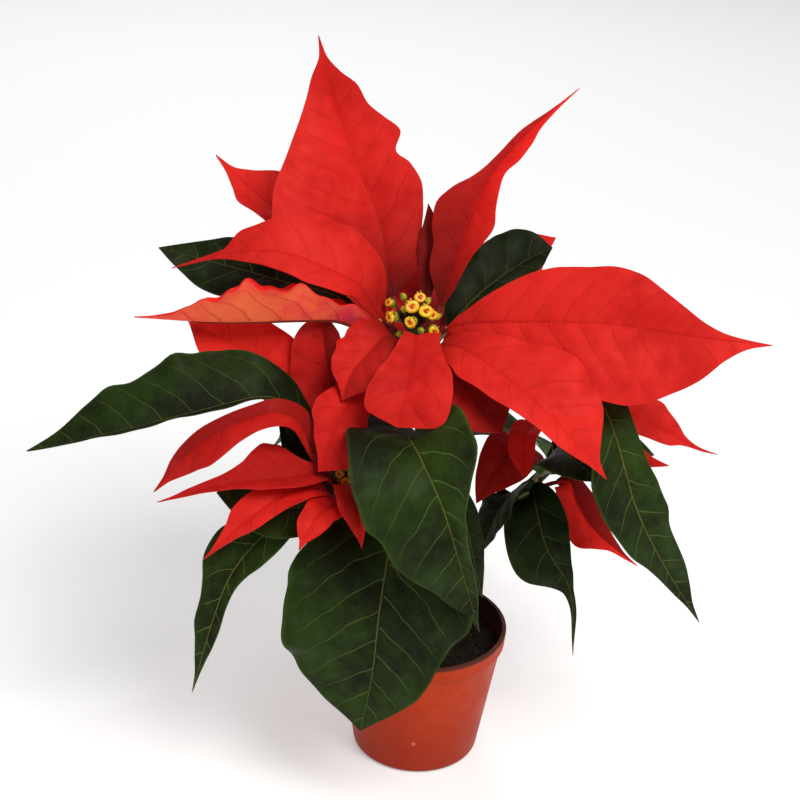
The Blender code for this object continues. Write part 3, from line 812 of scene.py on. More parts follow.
def make_blade(row, finishes):
    name, stem_name, height, stalk, line, left, right, fold, turn = row
    rng = np.random.default_rng(sum(ord(c) * (k + 1) for k, c in enumerate(name)) + rng_seed)
    run = blade_line(stem_name, height, line)
    length = np.linalg.norm(np.diff(run, axis=0), axis=1).sum() * (1 - stalk)
    piece, u, w = blank(name, *(large_grid if max(left) + max(right) > large_blade else small_grid))

    half = half_widths(left, right, u, w, rng)
    across = abs(u) * half
    count = vein_count(u, w, across, half, length)
    sideways, lift = folded(name, u, w, across, fold)
    lift = lift + relief_of(name, u, w, across, half, count, rng) + face_over_line
    where, side, up = frame_along(run, turn, stalk + (1 - stalk) * w)
    points = where + side * (np.sign(u) * sideways)[:, None] + up * lift[:, None]
    piece.data.vertices.foreach_set("co", (points * MM).ravel())
    write_map(piece, "vein_map", np.column_stack([np.sign(u) * across, count, w]))
    write_map(piece, "edge_share", abs(u))
    write_map(piece, "painted_light_and_tone", painted_light_of(name, u, w, rng))

    for finish in finishes:
        piece.data.materials.append(finish)
    solidify = piece.modifiers.new("thickness", "SOLIDIFY")
    solidify.thickness = blade_thickness * MM
    solidify.offset = -1.0
    solidify.material_offset = 1
    bpy.context.view_layer.objects.active = piece
    bpy.ops.object.modifier_apply(modifier="thickness")
    bpy.ops.object.shade_smooth_by_angle(angle=math.radians(55))
    stand_in(joined(name + "_blade", [piece, stalk_of(name, run, stalk, turn, finishes[2])]), name)


# %% [markdown]
# ## The red bracts of the main head
#
# What looks like petals are bracts, leaves that turn red round the flowers. Each row
# says at what height a bract leaves its stem, the share of its line that is stalk, the
# line it follows to its tip, its half-widths left and right at even places, how far the
# halves fold up, and how it turns from base to tip. Lengths are in millimetres and
# angles in degrees. A lobe or a notch shows as a step in the half-widths, and a drip
# tip as a few thin last ones.

# %% Bracts of the main head
def make_bracts(rows):
    for row in rows:
        make_blade(row, (bract_face, bract_back, bract_stalk))
    print(len(rows), "bracts on", rows[0][1])


make_bracts([
    ("bract_top", "main_stem", 214, 0.14,
     [(-19, 3, 225), (-23, 9, 241), (-27, 17, 256), (-38, 28, 276), (-50, 40, 305), (-56, 48, 326)],
     (16, 33, 46, 50, 50, 47, 42, 34, 26.5, 18.5, 12, 7, 1.5),
     (11, 16, 17, 20, 22.5, 22, 18.5, 23, 19, 14, 12, 6, 1.5), (12, 24), (20, 20)),
    ("bract_left", "main_stem", 212, 0.12,
     [(-25, -11, 223), (-33, -13, 237), (-45, -17, 245), (-64, -18, 252), (-86, -16, 250),
      (-111, -16, 242)], (4, 7, 8, 10, 11, 11.5, 11, 9.5, 7.5, 5, 2.5, 1, 0.5),
     (9, 14, 18, 21, 22, 22, 18.5, 15.5, 13, 10, 2, 1, 0.5), (8, 8), (35, 35)),
    ("bract_top_right", "main_stem", 213, 0.12,
     [(1, -1, 224), (6, 5, 243), (11, 9, 258), (21, 16, 280), (35, 22, 296), (55, 30, 313)],
     (6, 10, 11, 15, 16, 13, 7, 4, 3, 3, 2, 1, 0.4), (4, 6, 8, 11, 13, 10, 7.5, 5.5, 7, 6, 3, 1.5, 0.6),
     (30, 25), (-40, -35)),
    ("bract_centre", "main_stem", 216, 0.16, [(-6, 3, 226), (-5, 7, 240), (-5, 11, 252), (-6, 16, 264)],
     (2, 3, 4, 5, 4, 2), (3, 4, 5, 6, 5, 3), (15, 15), (-5, -5)),
    ("bract_right", "main_stem", 211, 0.1,
     [(8, -18, 223), (34, -26, 229), (69, -36, 234), (101, -40, 232), (136, -36, 228)],
     (6, 12, 17, 21, 23, 23, 24, 22, 17, 11.5, 6, 2.5, 1),
     (10, 14, 18, 23, 27, 30.5, 32, 32, 30, 24, 17, 8, 2.5), (6, 6), (-55, -65)),
    ("bract_lower_right", "main_stem", 208, 0.12,
     [(7, -30, 219), (26, -47, 215), (48, -62, 203), (70, -68, 180)],
     (6, 8, 11, 14, 17, 20, 23, 24, 24, 21, 17, 9, 2.5),
     (7, 9, 11, 13.5, 13, 12, 11, 10, 9, 8, 6.5, 4, 1.5), (8, 8), (-25, -30)),
    ("bract_front", "main_stem", 212, 0.16,
     [(-9, -30, 223), (-10, -46, 218), (-12, -58, 210), (-15, -64, 197)],
     (9, 10.5, 10, 10, 11, 12.5, 14.5, 16.5, 18, 19, 19, 18.5, 15.5),
     (4.5, 5, 5, 6, 7.5, 9, 10, 11.5, 13, 14.5, 15.5, 15.5, 14), (10, 10), (0, 5)),
    ("bract_under", "main_stem", 206, 0.2,
     [(2, -30, 211), (12, -38, 204), (19, -44, 197), (28, -48, 189)], (8, 12, 14, 16, 16, 13),
     (6, 12, 15, 17, 15, 9), (10, 10), (-15, -10)),
    ("bract_lower_left", "main_stem", 210, 0.18,
     [(-21, -24, 219), (-28, -34, 216), (-35, -42, 209), (-38, -46, 199)],
     (3, 4, 5, 6.5, 8, 9.5, 10.5, 11.5, 12.5, 13, 12, 9, 4),
     (6, 10, 12, 13, 13, 13, 12.5, 13, 11, 10, 8, 4, 1.5), (10, 10), (25, 15)),
    ("bract_folded", "main_stem", 205, 0.12,
     [(-26, -13, 214), (-40, -20, 224), (-57, -28, 227), (-86, -32, 226), (-124, -34, 227)],
     (6, 9, 12.5, 15, 19, 25, 27, 26, 23, 17, 11, 6, 2.5),
     (4, 7, 9, 11, 14, 16, 17, 17, 15, 11, 7, 4, 1.5), (56, 44), (0, 0)),
    ("bract_far_left", "main_stem", 205, 0.14,
     [(-39, 16, 236), (-66, 30, 248), (-84, 42, 259), (-100, 48, 271)],
     (3, 5, 7, 9, 10.5, 11.5, 11, 10, 9, 10, 12, 8, 3),
     (5, 8, 11, 14, 16, 17, 17.5, 18, 19, 19, 17, 7, 1.2), (8, 8), (15, 15)),
    ("bract_far_right", "main_stem", 208, 0.15,
     [(13, 15, 223), (27, 34, 232), (40, 49, 235), (53, 58, 236)], (4, 8, 11, 12, 10, 6),
     (8, 15, 19, 19, 15, 9), (8, 8), (-20, -25)),
    ("bract_hanging", "main_stem", 203, 0.2,
     [(-22, -28, 203), (-33, -41, 198), (-41, -55, 190), (-46, -65, 176)],
     (3, 5, 7, 8, 9, 9.5, 10, 12, 14, 16, 17.5, 16.5, 11),
     (2, 4, 6, 8, 9.5, 10, 11.5, 12, 11.5, 8, 6, 3.5, 1.5), (10, 10), (25, 25)),
])

# %% [markdown]
# ## The left head
#
# A smaller head stands on the left branch, lower and nearer to the viewer. Its bracts
# are narrower and hang more.

# %% Bracts of the left head
make_bracts([
    ("bract_left_high", "left_branch", 156, 0.14,
     [(-44, -25, 176), (-60, -24, 195), (-82, -22, 210), (-104, -18, 219)], (4, 8, 12, 14, 15, 12),
     (5, 9, 12, 16, 16, 9), (8, 8), (50, 45)),
    ("bract_left_upright", "left_branch", 160, 0.14,
     [(-38, -36, 178), (-43, -25, 195), (-47, -20, 211), (-48, -18, 226)],
     (5, 8, 10, 11, 12, 14, 15, 16, 16, 15, 14, 12, 8), (5, 7, 8, 9, 10, 11, 11, 11, 10, 9, 8, 7, 4),
     (20, 12), (30, 30)),
    ("bract_left_mid", "left_branch", 156, 0.14,
     [(-48, -51, 176), (-55, -57, 194), (-66, -62, 200), (-91, -68, 190), (-112, -70, 166)],
     (3, 5, 6, 6.5, 7, 7.5, 8, 9.5, 12, 13, 10, 6, 2), (4, 6, 7, 7, 6, 5.5, 5, 5, 5, 5, 5, 4, 1.5),
     (20, 8), (50, 30)),
    ("bract_left_low", "left_branch", 158, 0.12,
     [(-45, -57, 171), (-59, -67, 174), (-82, -76, 174), (-109, -80, 167)],
     (3, 5, 7.5, 9.5, 10.5, 10.5, 9, 6, 4, 3, 1.5, 1, 0.5),
     (4, 4, 5, 9, 15, 16, 13, 8, 5.5, 4, 3, 2, 0.8), (35, 10), (30, 30)),
    ("bract_left_down", "left_branch", 154, 0.12,
     [(-46, -59, 165), (-57, -70, 169), (-72, -80, 162), (-90, -86, 145)],
     (2.5, 3.5, 5, 6, 7, 7.5, 7, 6.5, 6.5, 5.5, 3.5, 2, 0.8),
     (3, 5, 6, 7, 6.5, 6, 7.5, 8.5, 8.5, 7.5, 4.5, 2.5, 1), (10, 10), (15, 25)),
    ("bract_left_front", "left_branch", 150, 0.14,
     [(-37, -58, 157), (-43, -71, 162), (-48, -80, 159), (-52, -84, 150)],
     (6, 9, 11, 11, 10, 9, 8, 7.5, 7, 7, 6, 4, 1.5), (12, 17, 17, 16, 14, 12, 10, 8, 7, 6.5, 6, 4, 1.5),
     (6, 6), (15, 15)),
    ("bract_left_front_right", "left_branch", 160, 0.14,
     [(-31, -62, 168), (-30, -72, 167), (-28, -78, 160), (-27, -80, 150)],
     (4.5, 5, 5, 5, 4.5, 4.5, 4, 3.5, 3, 2.5, 2, 1.5, 0.8),
     (7, 9, 9, 9, 9, 9, 8.5, 8, 7, 5.5, 4, 2.5, 1), (10, 10), (0, 0)),
])

# %% [markdown]
# ## The right head
#
# The right head is nearly hidden behind the big bracts above it. Only the ends of its
# bracts show.

# %% Bracts of the right head
make_bracts([
    ("bract_right_down", "right_branch", 136, 0.16,
     [(63, 2, 142), (66, -4, 135), (73, -8, 125), (83, -10, 116), (96, -10, 106)],
     (4, 8, 9, 7, 5, 3, 1), (9, 11.5, 13.5, 15, 8, 2.5, 1), (10, 30), (-50, -40)),
    ("bract_right_far", "right_branch", 145, 0.14,
     [(66, 6, 154), (74, 8, 166), (86, 8, 173), (104, 6, 167), (118, 4, 160), (128, 4, 157)],
     (3, 5, 7, 9, 9.5, 9.5, 10.5, 10.5, 8, 5, 2, 1, 0.5),
     (3, 4, 5, 7, 8, 7.5, 8, 7.5, 7, 6, 2.5, 1, 0.5), (8, 8), (-50, -45)),
    ("bract_right_behind", "right_branch", 142, 0.2,
     [(74, 20, 152), (90, 24, 146), (102, 26, 141), (111, 26, 139)], (3, 5, 6, 6, 5, 2),
     (3, 6, 8, 7, 6, 3), (8, 8), (-30, -35)),
    ("bract_right_small", "right_branch", 147, 0.3, [(52, -2, 170), (40, -22, 176), (40, -36, 162)],
     (2, 3, 4, 5, 5, 4), (2, 3, 5, 7, 7, 5), (10, 10), (10, 15)),
    ("bract_right_inner", "right_branch", 141, 0.2,
     [(46, 4, 156), (35, -10, 160), (28, -15, 153), (21, -20, 140)], (6, 11, 13, 14, 12, 9, 4),
     (5, 9, 11, 12, 10, 7, 4), (10, 10), (20, 20)),
])

# %% [markdown]
# ## The back
#
# The back isn't seen from the front. It gets a head of its own, with plain even bracts
# like the rest of the plant, and two more high ones on the main stem.

# %% Bracts at the back
make_bracts([
    ("bract_back", "back_branch", 170, 0.14, [(-3, 72, 188), (2, 100, 192), (6, 128, 176)],
     (8, 15, 18, 16, 11, 5), (8, 15, 18, 16, 11, 5), (10, 10), (0, 0)),
    ("bract_back_right", "back_branch", 168, 0.14, [(14, 64, 184), (40, 80, 189), (70, 96, 178)],
     (8, 14, 17, 15, 11, 5), (8, 14, 17, 15, 11, 5), (10, 10), (-5, -10)),
    ("bract_back_left", "back_branch", 168, 0.14, [(-20, 66, 184), (-44, 86, 188), (-72, 104, 172)],
     (8, 14, 17, 15, 11, 5), (8, 14, 17, 15, 11, 5), (10, 10), (5, 10)),
    ("bract_back_low_left", "back_branch", 162, 0.14, [(-22, 60, 170), (-48, 68, 168), (-76, 76, 150)],
     (7, 12, 15, 13, 9, 4), (7, 12, 15, 13, 9, 4), (10, 10), (0, 0)),
    ("bract_back_low_right", "back_branch", 162, 0.14, [(14, 60, 170), (40, 66, 168), (66, 74, 150)],
     (7, 12, 15, 13, 9, 4), (7, 12, 15, 13, 9, 4), (10, 10), (0, 0)),
    ("bract_back_high_left", "main_stem", 202, 0.14, [(-16, 14, 218), (-28, 42, 232), (-36, 80, 226)],
     (8, 15, 19, 17, 12, 5), (8, 15, 19, 17, 12, 5), (10, 10), (0, 0)),
    ("bract_back_high_right", "main_stem", 200, 0.14, [(-4, 10, 210), (6, 36, 214), (16, 70, 202)],
     (8, 15, 18, 16, 11, 5), (8, 15, 18, 16, 11, 5), (10, 10), (0, 0)),
])

# %% [markdown]
# ## The green leaves
#
# The leaves are made in the same way, with longer stalks. They hang lower and turn
# their faces outwards, as leaves do that look for light under a red head.

# %% Leaves
leaves = [
    ("leaf_top_left", "main_stem", 199, 0.25,
     [(-40, 6, 222), (-69, 18, 225), (-98, 24, 230), (-123, 28, 234)], (4, 10, 15, 19, 18, 11),
     (3, 9, 14, 15, 13, 7), (10, 10), (30, 30)),
    ("leaf_top_right", "main_stem", 203, 0.22,
     [(9, -2, 221), (22, 9, 231), (37, 19, 239), (49, 26, 243)],
     (6, 9, 11, 13, 15, 16, 16, 16, 16, 15.5, 15, 13, 9), (4, 5, 6, 6, 6, 6, 6, 6, 6, 6.5, 7, 6, 3),
     (10, 10), (-40, -40)),
    ("leaf_left", "left_branch", 148, 0.18,
     [(-44, -32, 168), (-55, -39, 188), (-68, -46, 200), (-94, -56, 197), (-126, -64, 190),
      (-163, -68, 181)], (2.5, 4.5, 7, 8, 9.5, 10, 11, 11, 11, 9.5, 8, 5, 2),
     (5, 9, 12, 18, 24, 25, 26, 25, 21, 19.5, 16, 10, 4), (55, 8), (35, 30)),
    ("leaf_left_inner", "left_branch", 140, 0.2,
     [(-45, -41, 159), (-52, -47, 172), (-58, -50, 183), (-63, -52, 191)], (6, 10, 13, 14, 14, 12, 7),
     (6, 10, 13, 14, 14, 12, 7), (10, 10), (65, 65)),
    ("leaf_left_under", "left_branch", 129, 0.2,
     [(-42, -39, 143), (-56, -49, 150), (-72, -60, 154), (-87, -66, 165)], (4, 10, 14, 15, 13, 8),
     (4, 9, 13, 14, 13, 9), (10, 10), (35, 40)),
    ("leaf_lower_left", "left_branch", 126, 0.2,
     [(-52, -38, 145), (-66, -52, 141), (-80, -64, 128), (-88, -71, 108), (-97, -74, 72)],
     (4, 7, 10, 12, 13, 12, 8, 5.5, 5, 5.5, 4.5, 2.5, 1),
     (4, 7, 9, 10, 12, 15, 14, 10, 8, 7.5, 5, 3, 1), (40, 10), (35, 45)),
    ("leaf_front_upper", "main_stem", 170, 0.125,
     [(-10, -52, 187), (-8, -64, 190), (-2, -77, 184), (5, -83, 171), (12, -83, 149), (23, -74, 109)],
     (4.5, 8.5, 14, 19.5, 25.5, 26.5, 16.5, 9, 7, 6, 5.5, 4, 1.5),
     (13.5, 19, 23, 26.5, 29, 32, 33, 28, 26, 20, 14, 9, 3), (40, 8), (-25, -10)),
    ("leaf_front_lower", "main_stem", 126, 0.3,
     [(-12, -40, 143), (-16, -56, 135), (-19, -68, 112), (-21, -70, 80), (-25, -70, 53)],
     (18, 26.5, 32, 38, 40, 40, 35, 31, 27, 24, 20, 14, 7),
     (17, 27, 33, 38, 41, 41.5, 40.5, 39.5, 37, 33.5, 29, 21, 10), (6, 6), (10, 10)),
    ("leaf_behind_front", "main_stem", 146, 0.3,
     [(9, -22, 153), (15, -30, 142), (20, -32, 123), (26, -28, 97)], (5, 6, 6, 5, 4, 2),
     (6, 8, 8, 7, 6, 4), (10, 10), (-25, -25)),
    ("leaf_right", "right_branch", 140, 0.22,
     [(68, -4, 168), (66, -18, 190), (70, -30, 196), (77, -42, 183), (87, -46, 155), (102, -42, 126),
      (122, -34, 93)], (8, 9, 9, 9, 10, 11, 13, 13, 10.5, 9.5, 8.5, 5.5, 2),
     (7, 8, 10, 14, 16, 20, 18.5, 15, 12.5, 8, 5, 3, 1), (10, 10), (-25, -30)),
    ("leaf_lower_centre", "right_branch", 128, 0.12,
     [(47, 1, 137), (48, -9, 134), (54, -18, 117), (66, -20, 97), (70, -18, 62)],
     (11, 13, 11, 5.5, 1.5, 1.5, 0.8), (13, 16.5, 17.5, 12, 3, 1, 0.6), (10, 10), (-50, -60)),
    ("leaf_lower_inner", "right_branch", 124, 0.1,
     [(40, 4, 133), (36, -2, 134), (30, -6, 124), (24, -10, 108)], (9, 12, 13, 13, 12, 8, 4),
     (8, 10, 12, 14, 12, 9, 4), (10, 10), (-35, -35)),
    ("leaf_right_behind", "right_branch", 134, 0.15, [(74, 30, 151), (86, 36, 146), (106, 40, 137)],
     (6, 9, 11, 12, 11, 9, 5), (8, 11, 13, 14, 13, 11, 6), (8, 8), (-30, -40)),
    ("leaf_right_inner", "right_branch", 136, 0.15,
     [(54, -6, 157), (58, -23, 168), (64, -33, 167), (71, -38, 163)], (10, 14, 16, 17, 15, 12, 7),
     (14, 18, 18, 16, 14, 12, 7), (10, 10), (-40, -20)),
    ("leaf_back_left", "back_branch", 142, 0.22, [(-24, 54, 148), (-50, 70, 140), (-78, 84, 108)],
     (8, 15, 18, 16, 11, 5), (8, 15, 18, 16, 11, 5), (10, 10), (0, 0)),
    ("leaf_back_right", "back_branch", 134, 0.22, [(20, 50, 140), (48, 66, 132), (72, 80, 98)],
     (8, 15, 18, 16, 11, 5), (8, 15, 18, 16, 11, 5), (10, 10), (0, 0)),
    ("leaf_back", "back_branch", 124, 0.22, [(0, 52, 124), (2, 72, 112), (4, 88, 78)],
     (8, 15, 18, 16, 11, 5), (8, 15, 18, 16, 11, 5), (10, 10), (0, 0)),
]
for row in leaves:
    make_blade(row, (leaf_face, leaf_back, leaf_stalk))
print(len(leaves), "leaves")

# %% [markdown]
# ## The small true flowers
#
# In the middle of each red head sit the real flowers, each a green cup of a few
# millimetres with one yellow lip that holds nectar, and a tuft of red threads with
# pollen on top. The cup is turned: a disc is extruded and resized from corner to corner
# of a profile. The same helper makes the pot and the soil further on.

# %% A turned piece
def turned(name, profile, sides, finish, smooth=40.0):
    """A round piece: a disc, extruded and resized to each corner of the profile in mm."""
    bpy.ops.object.select_all(action="DESELECT")
    radius, height = profile[0]
    bpy.ops.mesh.primitive_circle_add(
        vertices=sides, radius=radius * MM, fill_type="NGON", location=(0, 0, height * MM))
    piece = bpy.context.object
    piece.name = name
    bpy.ops.object.transform_apply(location=True, rotation=True, scale=True)
    bpy.ops.object.mode_set(mode="EDIT")
    bpy.ops.mesh.select_all(action="SELECT")
    for (r0, z0), (r1, z1) in zip(profile, profile[1:]):
        bpy.ops.mesh.extrude_region_move(TRANSFORM_OT_translate={"value": (0, 0, (z1 - z0) * MM)})
        bpy.ops.transform.resize(value=(r1 / r0, r1 / r0, 1), center_override=(0, 0, z1 * MM))
    bpy.ops.mesh.select_all(action="SELECT")
    bpy.ops.mesh.normals_make_consistent(inside=False)
    bpy.ops.object.mode_set(mode="OBJECT")
    piece.data.materials.append(finish)
    bpy.ops.object.shade_smooth_by_angle(angle=math.radians(smooth))
    return piece


def settled(piece):
    """The piece's turn, size and place go into its mesh."""
    bpy.ops.object.select_all(action="DESELECT")
    piece.select_set(True)
    bpy.context.view_layer.objects.active = piece
    bpy.ops.object.transform_apply(location=True, rotation=True, scale=True)
    return piece


# %% [markdown]
# A pollen thread is a thin tube with a ball of twenty faces on its end. The threads
# stand in a ring a little behind the lip and lean outwards.

# %% Pollen thread
ring_radius, ring_behind, ring_height = 0.5, -0.6, 3.6
pollen_radius = 0.36


def flower_thread(angle, lean, length):
    around = np.array((math.cos(angle), math.sin(angle), 0.0))
    foot = ring_radius * around + np.array((0.0, ring_behind, ring_height))
    tip = foot + length * (math.sin(lean) * around + np.array((0.0, 0.0, math.cos(lean))))
    thread = tube("thread", np.linspace(foot, tip, 4), [0.24, 0.20, 0.17, 0.15], thread_red, 1)
    bpy.ops.mesh.primitive_ico_sphere_add(subdivisions=1, radius=pollen_radius * MM, location=tuple(tip * MM))
    ball = settled(bpy.context.object)
    ball.data.materials.append(pollen)
    return [thread, ball]


# %% [markdown]
# One open flower and one bud are modelled here and copied later. The open flower has
# its cup, the lip as a thick tilted ring with a red throat inside, and seven threads of
# two lengths. The bud is a closed cup with three short threads.

# %% One open flower and one bud
cup_profile = [
    (0.5, -2.6), (0.6, -0.6), (1.1, 0.0), (1.75, 0.9), (2.1, 2.0), (2.05, 3.0), (1.7, 3.8),
    (1.45, 4.1), (1.2, 4.0), (0.9, 3.3),
]
parts = [turned("cup", cup_profile, 16, cup_green)]
bpy.ops.mesh.primitive_torus_add(
    major_radius=1.45 * MM, minor_radius=0.85 * MM, major_segments=20, minor_segments=10,
    location=(0.0, -1.5 * MM, 3.9 * MM), rotation=(math.radians(30), 0.0, 0.0))
lip = bpy.context.object
lip.scale = (1.2, 1.0, 1.0)
lip = settled(lip)
lip.data.materials.append(gland_yellow)
bpy.ops.object.shade_smooth()
bpy.ops.mesh.primitive_uv_sphere_add(
    segments=14, ring_count=8, radius=0.95 * MM, location=(0.0, -1.45 * MM, 4.0 * MM))
throat = settled(bpy.context.object)
throat.data.materials.append(thread_red)
bpy.ops.object.shade_smooth()
parts += [lip, throat]
for k in range(7):
    parts += flower_thread(2 * math.pi * k / 7 + 0.3, 0.25 + 0.25 * (k % 3), 1.7 + 0.35 * (k % 2))
open_flower = joined("open_flower", parts)

bud_profile = [
    (0.45, -2.6), (0.55, -0.6), (1.0, 0.0), (1.6, 0.9), (1.85, 1.9), (1.7, 2.9), (1.15, 3.7),
    (0.7, 4.0), (0.4, 4.1),
]
parts = [turned("bud", bud_profile, 14, cup_green)]
for k in range(3):
    parts += flower_thread(2 * math.pi * k / 3, 0.3, 0.8)
bud = joined("bud", parts)
print("faces of an open flower:", len(open_flower.data.polygons))

# %% [markdown]
# ## Flower heads
#
# The flowers crowd on a dome that faces up and towards the viewer. Each row gives how
# far right and up a flower stands from the dome's middle as the viewer sees it, its
# size, and whether it is open. The depth follows from the dome.

# %% Flower heads
from mathutils import Matrix, Vector

view_right = Vector((1.0, 0.0, 0.0))
view_up = Vector((0.0, math.sin(above), math.cos(above)))
to_viewer = Vector((0.0, -math.cos(above), math.sin(above)))
rather_up = Vector((0, -0.35, 0.94))
flower_height = 4.2
flower_lean = 0.55  # 0 is straight out of the dome, 1 is rather up


def flower_head(node, centre, dome, rows, seed):
    """Flowers on a dome of a radius in mm round a centre, joined with a dark ball of painted shade beneath
    them.
    """
    rng = np.random.default_rng(seed)
    middle = Vector(centre)
    # A dark ball below the flowers is painted shade between them.
    bpy.ops.mesh.primitive_uv_sphere_add(segments=18, ring_count=10, radius=dome * 0.62 * MM)
    base = bpy.context.object
    base.scale = (1.0, 1.0, 0.75)
    base.location = (middle - Vector((0, 0, dome * 0.12))) * MM
    settled(base)
    base.data.materials.append(head_painted_shade)
    bpy.ops.object.shade_smooth()
    parts = [base]
    for right, up, size, is_open in rows:
        depth = math.sqrt(max(dome * dome - right * right - up * up, 1.0))
        spot = view_right * right + view_up * up + to_viewer * depth
        outward = (spot.normalized() * (1 - flower_lean) + rather_up * flower_lean).normalized()
        turn = outward.to_track_quat("Z", "Y").to_matrix().to_4x4()
        spin = Matrix.Rotation(rng.uniform(-0.9, 0.9), 4, "Z")
        scale = Matrix.Scale(size, 4)
        place = Matrix.Translation((middle + spot - outward * flower_height * size) * MM)
        model = open_flower if is_open else bud
        one = model.copy()
        one.data = model.data.copy()
        one.data.transform(place @ turn @ spin @ scale)
        bpy.context.scene.collection.objects.link(one)
        parts.append(one)
    stand_in(joined(node + "_cluster", parts), node)
    print(node, "has", len(rows), "flowers")


def over_stem(name, height):
    return stem_lines[name][0][-1] + np.array((0.0, 0.0, height))


main_rows = [
    (-10.5, 4.0, 0.75, True), (-1.8, 2.8, 1.15, True), (1.8, 6.6, 0.95, True),
    (-9.2, -2.0, 1.0, True), (-0.5, -4.2, 1.0, True), (4.7, 1.4, 1.15, True),
    (7.4, -0.4, 0.9, True), (9.1, -6.8, 0.95, True), (-6.6, -9.8, 0.8, False),
    (-15.0, -4.3, 0.5, False), (10.8, -0.8, 0.8, False), (-5.2, 6.8, 0.8, False),
    (-4.8, 1.0, 0.8, False), (3.4, -8.0, 0.8, False), (5.8, 5.4, 0.75, False),
]
flower_head("flowers_main", over_stem("main_stem", 5.5), 10.5, main_rows, 5)

small_rows = [
    (-2.6, 1.2, 0.7, True), (2.2, 1.6, 0.7, True), (0.0, -1.8, 0.75, True),
    (-3.2, -2.0, 0.6, False), (3.2, -1.8, 0.6, False), (0.2, 3.4, 0.6, False),
]
flower_head("flowers_left", over_stem("left_branch", 3.6), 4.4, small_rows, 6)
flower_head("flowers_right", over_stem("right_branch", 3.6), 4.4, small_rows, 7)
back_rows = small_rows + [(-4.6, 0.4, 0.7, True), (4.6, 0.6, 0.7, True), (1.4, 4.6, 0.65, False)]
flower_head("flowers_back", over_stem("back_branch", 4.0), 6.0, back_rows, 8)
bpy.data.objects.remove(open_flower)
bpy.data.objects.remove(bud)

# %% [markdown]
# ## The pot
#
# A nursery pot is moulded from thin coloured plastic: a tapered cup, a plain band at its
# mouth, a rounded foot and drain holes underneath. Its few sizes come first, because
# the finish follows them too.

# %% Sizes of the pot
mouth_radius, foot_radius, corner_radius = 40.0, 29.2, 2.6
band_bottom, band_overhang = 57.5, 1.8
floor_thickness, wall = 2.0, 1.4


def wall_radius(height):
    return foot_radius + (mouth_radius - band_overhang - foot_radius) * height / band_bottom


print("the wall grows", round(wall_radius(band_bottom) - foot_radius, 1), "mm wider up to the band")

# %% [markdown]
# ## Where the pot is stained and where shade is painted
#
# Soil has left a dark line along the lip, and the inside of the pot is painted nearly
# black as painted shade. The inside is found by measuring from the pot's axis: below the
# band it is what lies nearer than the wall, and in the band what lies nearer than the mouth.

# %% Masks of the pot
plastic = bpy.data.materials.new("terracotta plastic")
plastic.use_nodes = True
t = plastic.node_tree
point = put(t, "ShaderNodeTexCoord").outputs["Object"]
spot = put(t, "ShaderNodeSeparateXYZ", Vector=point)
flat_xy = put(t, "ShaderNodeCombineXYZ", X=spot.outputs["X"], Y=spot.outputs["Y"])
radius = put(t, "ShaderNodeVectorMath", {"operation": "LENGTH"}, Vector=flat_xy.outputs[0]).outputs["Value"]
wall_slope = (wall_radius(band_bottom) - foot_radius) / band_bottom
wall_at = calc(t, "MULTIPLY_ADD", spot.outputs["Z"], wall_slope, foot_radius * MM)
inside_wall = soft_step(t, calc(t, "SUBTRACT", radius, wall_at), -0.9 * MM, -0.4 * MM, 1.0, 0.0)
in_band = soft_step(t, spot.outputs["Z"], (band_bottom - 0.7) * MM, (band_bottom - 0.3) * MM)
in_mouth = soft_step(t, radius, (mouth_radius - 2.2) * MM, (mouth_radius - 1.4) * MM, 1.0, 0.0)
under_band = calc(t, "MULTIPLY", inside_wall, calc(t, "SUBTRACT", 1.0, in_band))
inside = calc(t, "MAXIMUM", under_band, calc(t, "MULTIPLY", in_band, in_mouth))
lip = soft_step(t, spot.outputs["Z"], 63.0 * MM, 64.0 * MM)
stain = put(t, "ShaderNodeTexNoise", Vector=point, Scale=140.0, Detail=4.0).outputs["Fac"]
lip_dirt = calc(t, "MULTIPLY", lip, soft_step(t, stain, 0.22, 0.42, 0.6, 1.0))
# A small pale round spot low in front, also a little raised in the relief.
pale_spot_distance = put(t, "ShaderNodeVectorMath", {"operation": "DISTANCE"}, Vector=point)
pale_spot_distance.inputs[1].default_value = (-1.0 * MM, -32.1 * MM, 18.8 * MM)
pale_spot = soft_step(t, pale_spot_distance.outputs["Value"], 0.6 * MM, 1.5 * MM, 1.0, 0.0)
print("nodes that find the stains:", len(t.nodes))

# %% [markdown]
# ## Finish of the pot
#
# The plastic is an even orange brown with a soft shine, and painted shade darkens it
# towards the foot.
# Handling has left faint level scuffs, and a small pale spot, a little raised, sits low
# in front.

# %% Finish of the pot
cloud = use_group(t, clouds, Broad=30.0, Fine=260.0)
colour = mix(t, cloud.outputs["Share"], paint(176, 50, 14), paint(190, 60, 18))
# Painted shade darkens the plastic towards the foot.
painted_foot_shade = soft_step(t, spot.outputs["Z"], 0.0, 55.0 * MM, 0.6, 0.0)
# Painted shade makes the inside nearly black; the lip's dark line is soil stain; a small pale round spot sits
# low in front.
for shown, stain_shade_and_spot_colour in (
    (painted_foot_shade, paint(134, 28, 10)),
    (calc(t, "MULTIPLY", lip_dirt, 0.9), paint(66, 40, 32)),
    (calc(t, "MULTIPLY", inside, 0.95), paint(30, 18, 14)),
    (calc(t, "MULTIPLY", pale_spot, 0.6), paint(224, 120, 96)),
):
    colour = mix(t, shown, colour, stain_shade_and_spot_colour)
scuff_place = put(t, "ShaderNodeMapping", Vector=point, Scale=(40.0, 40.0, 900.0))
scuffs = put(t, "ShaderNodeTexNoise", Vector=scuff_place.outputs[0], Scale=1.0, Detail=2.0).outputs["Fac"]
grain = put(t, "ShaderNodeTexNoise", Vector=point, Scale=900.0, Detail=2.0).outputs["Fac"]
height = calc(t, "MULTIPLY_ADD", scuffs, 0.35, calc(t, "MULTIPLY", grain, 0.3))
height = calc(t, "ADD", height, pale_spot)
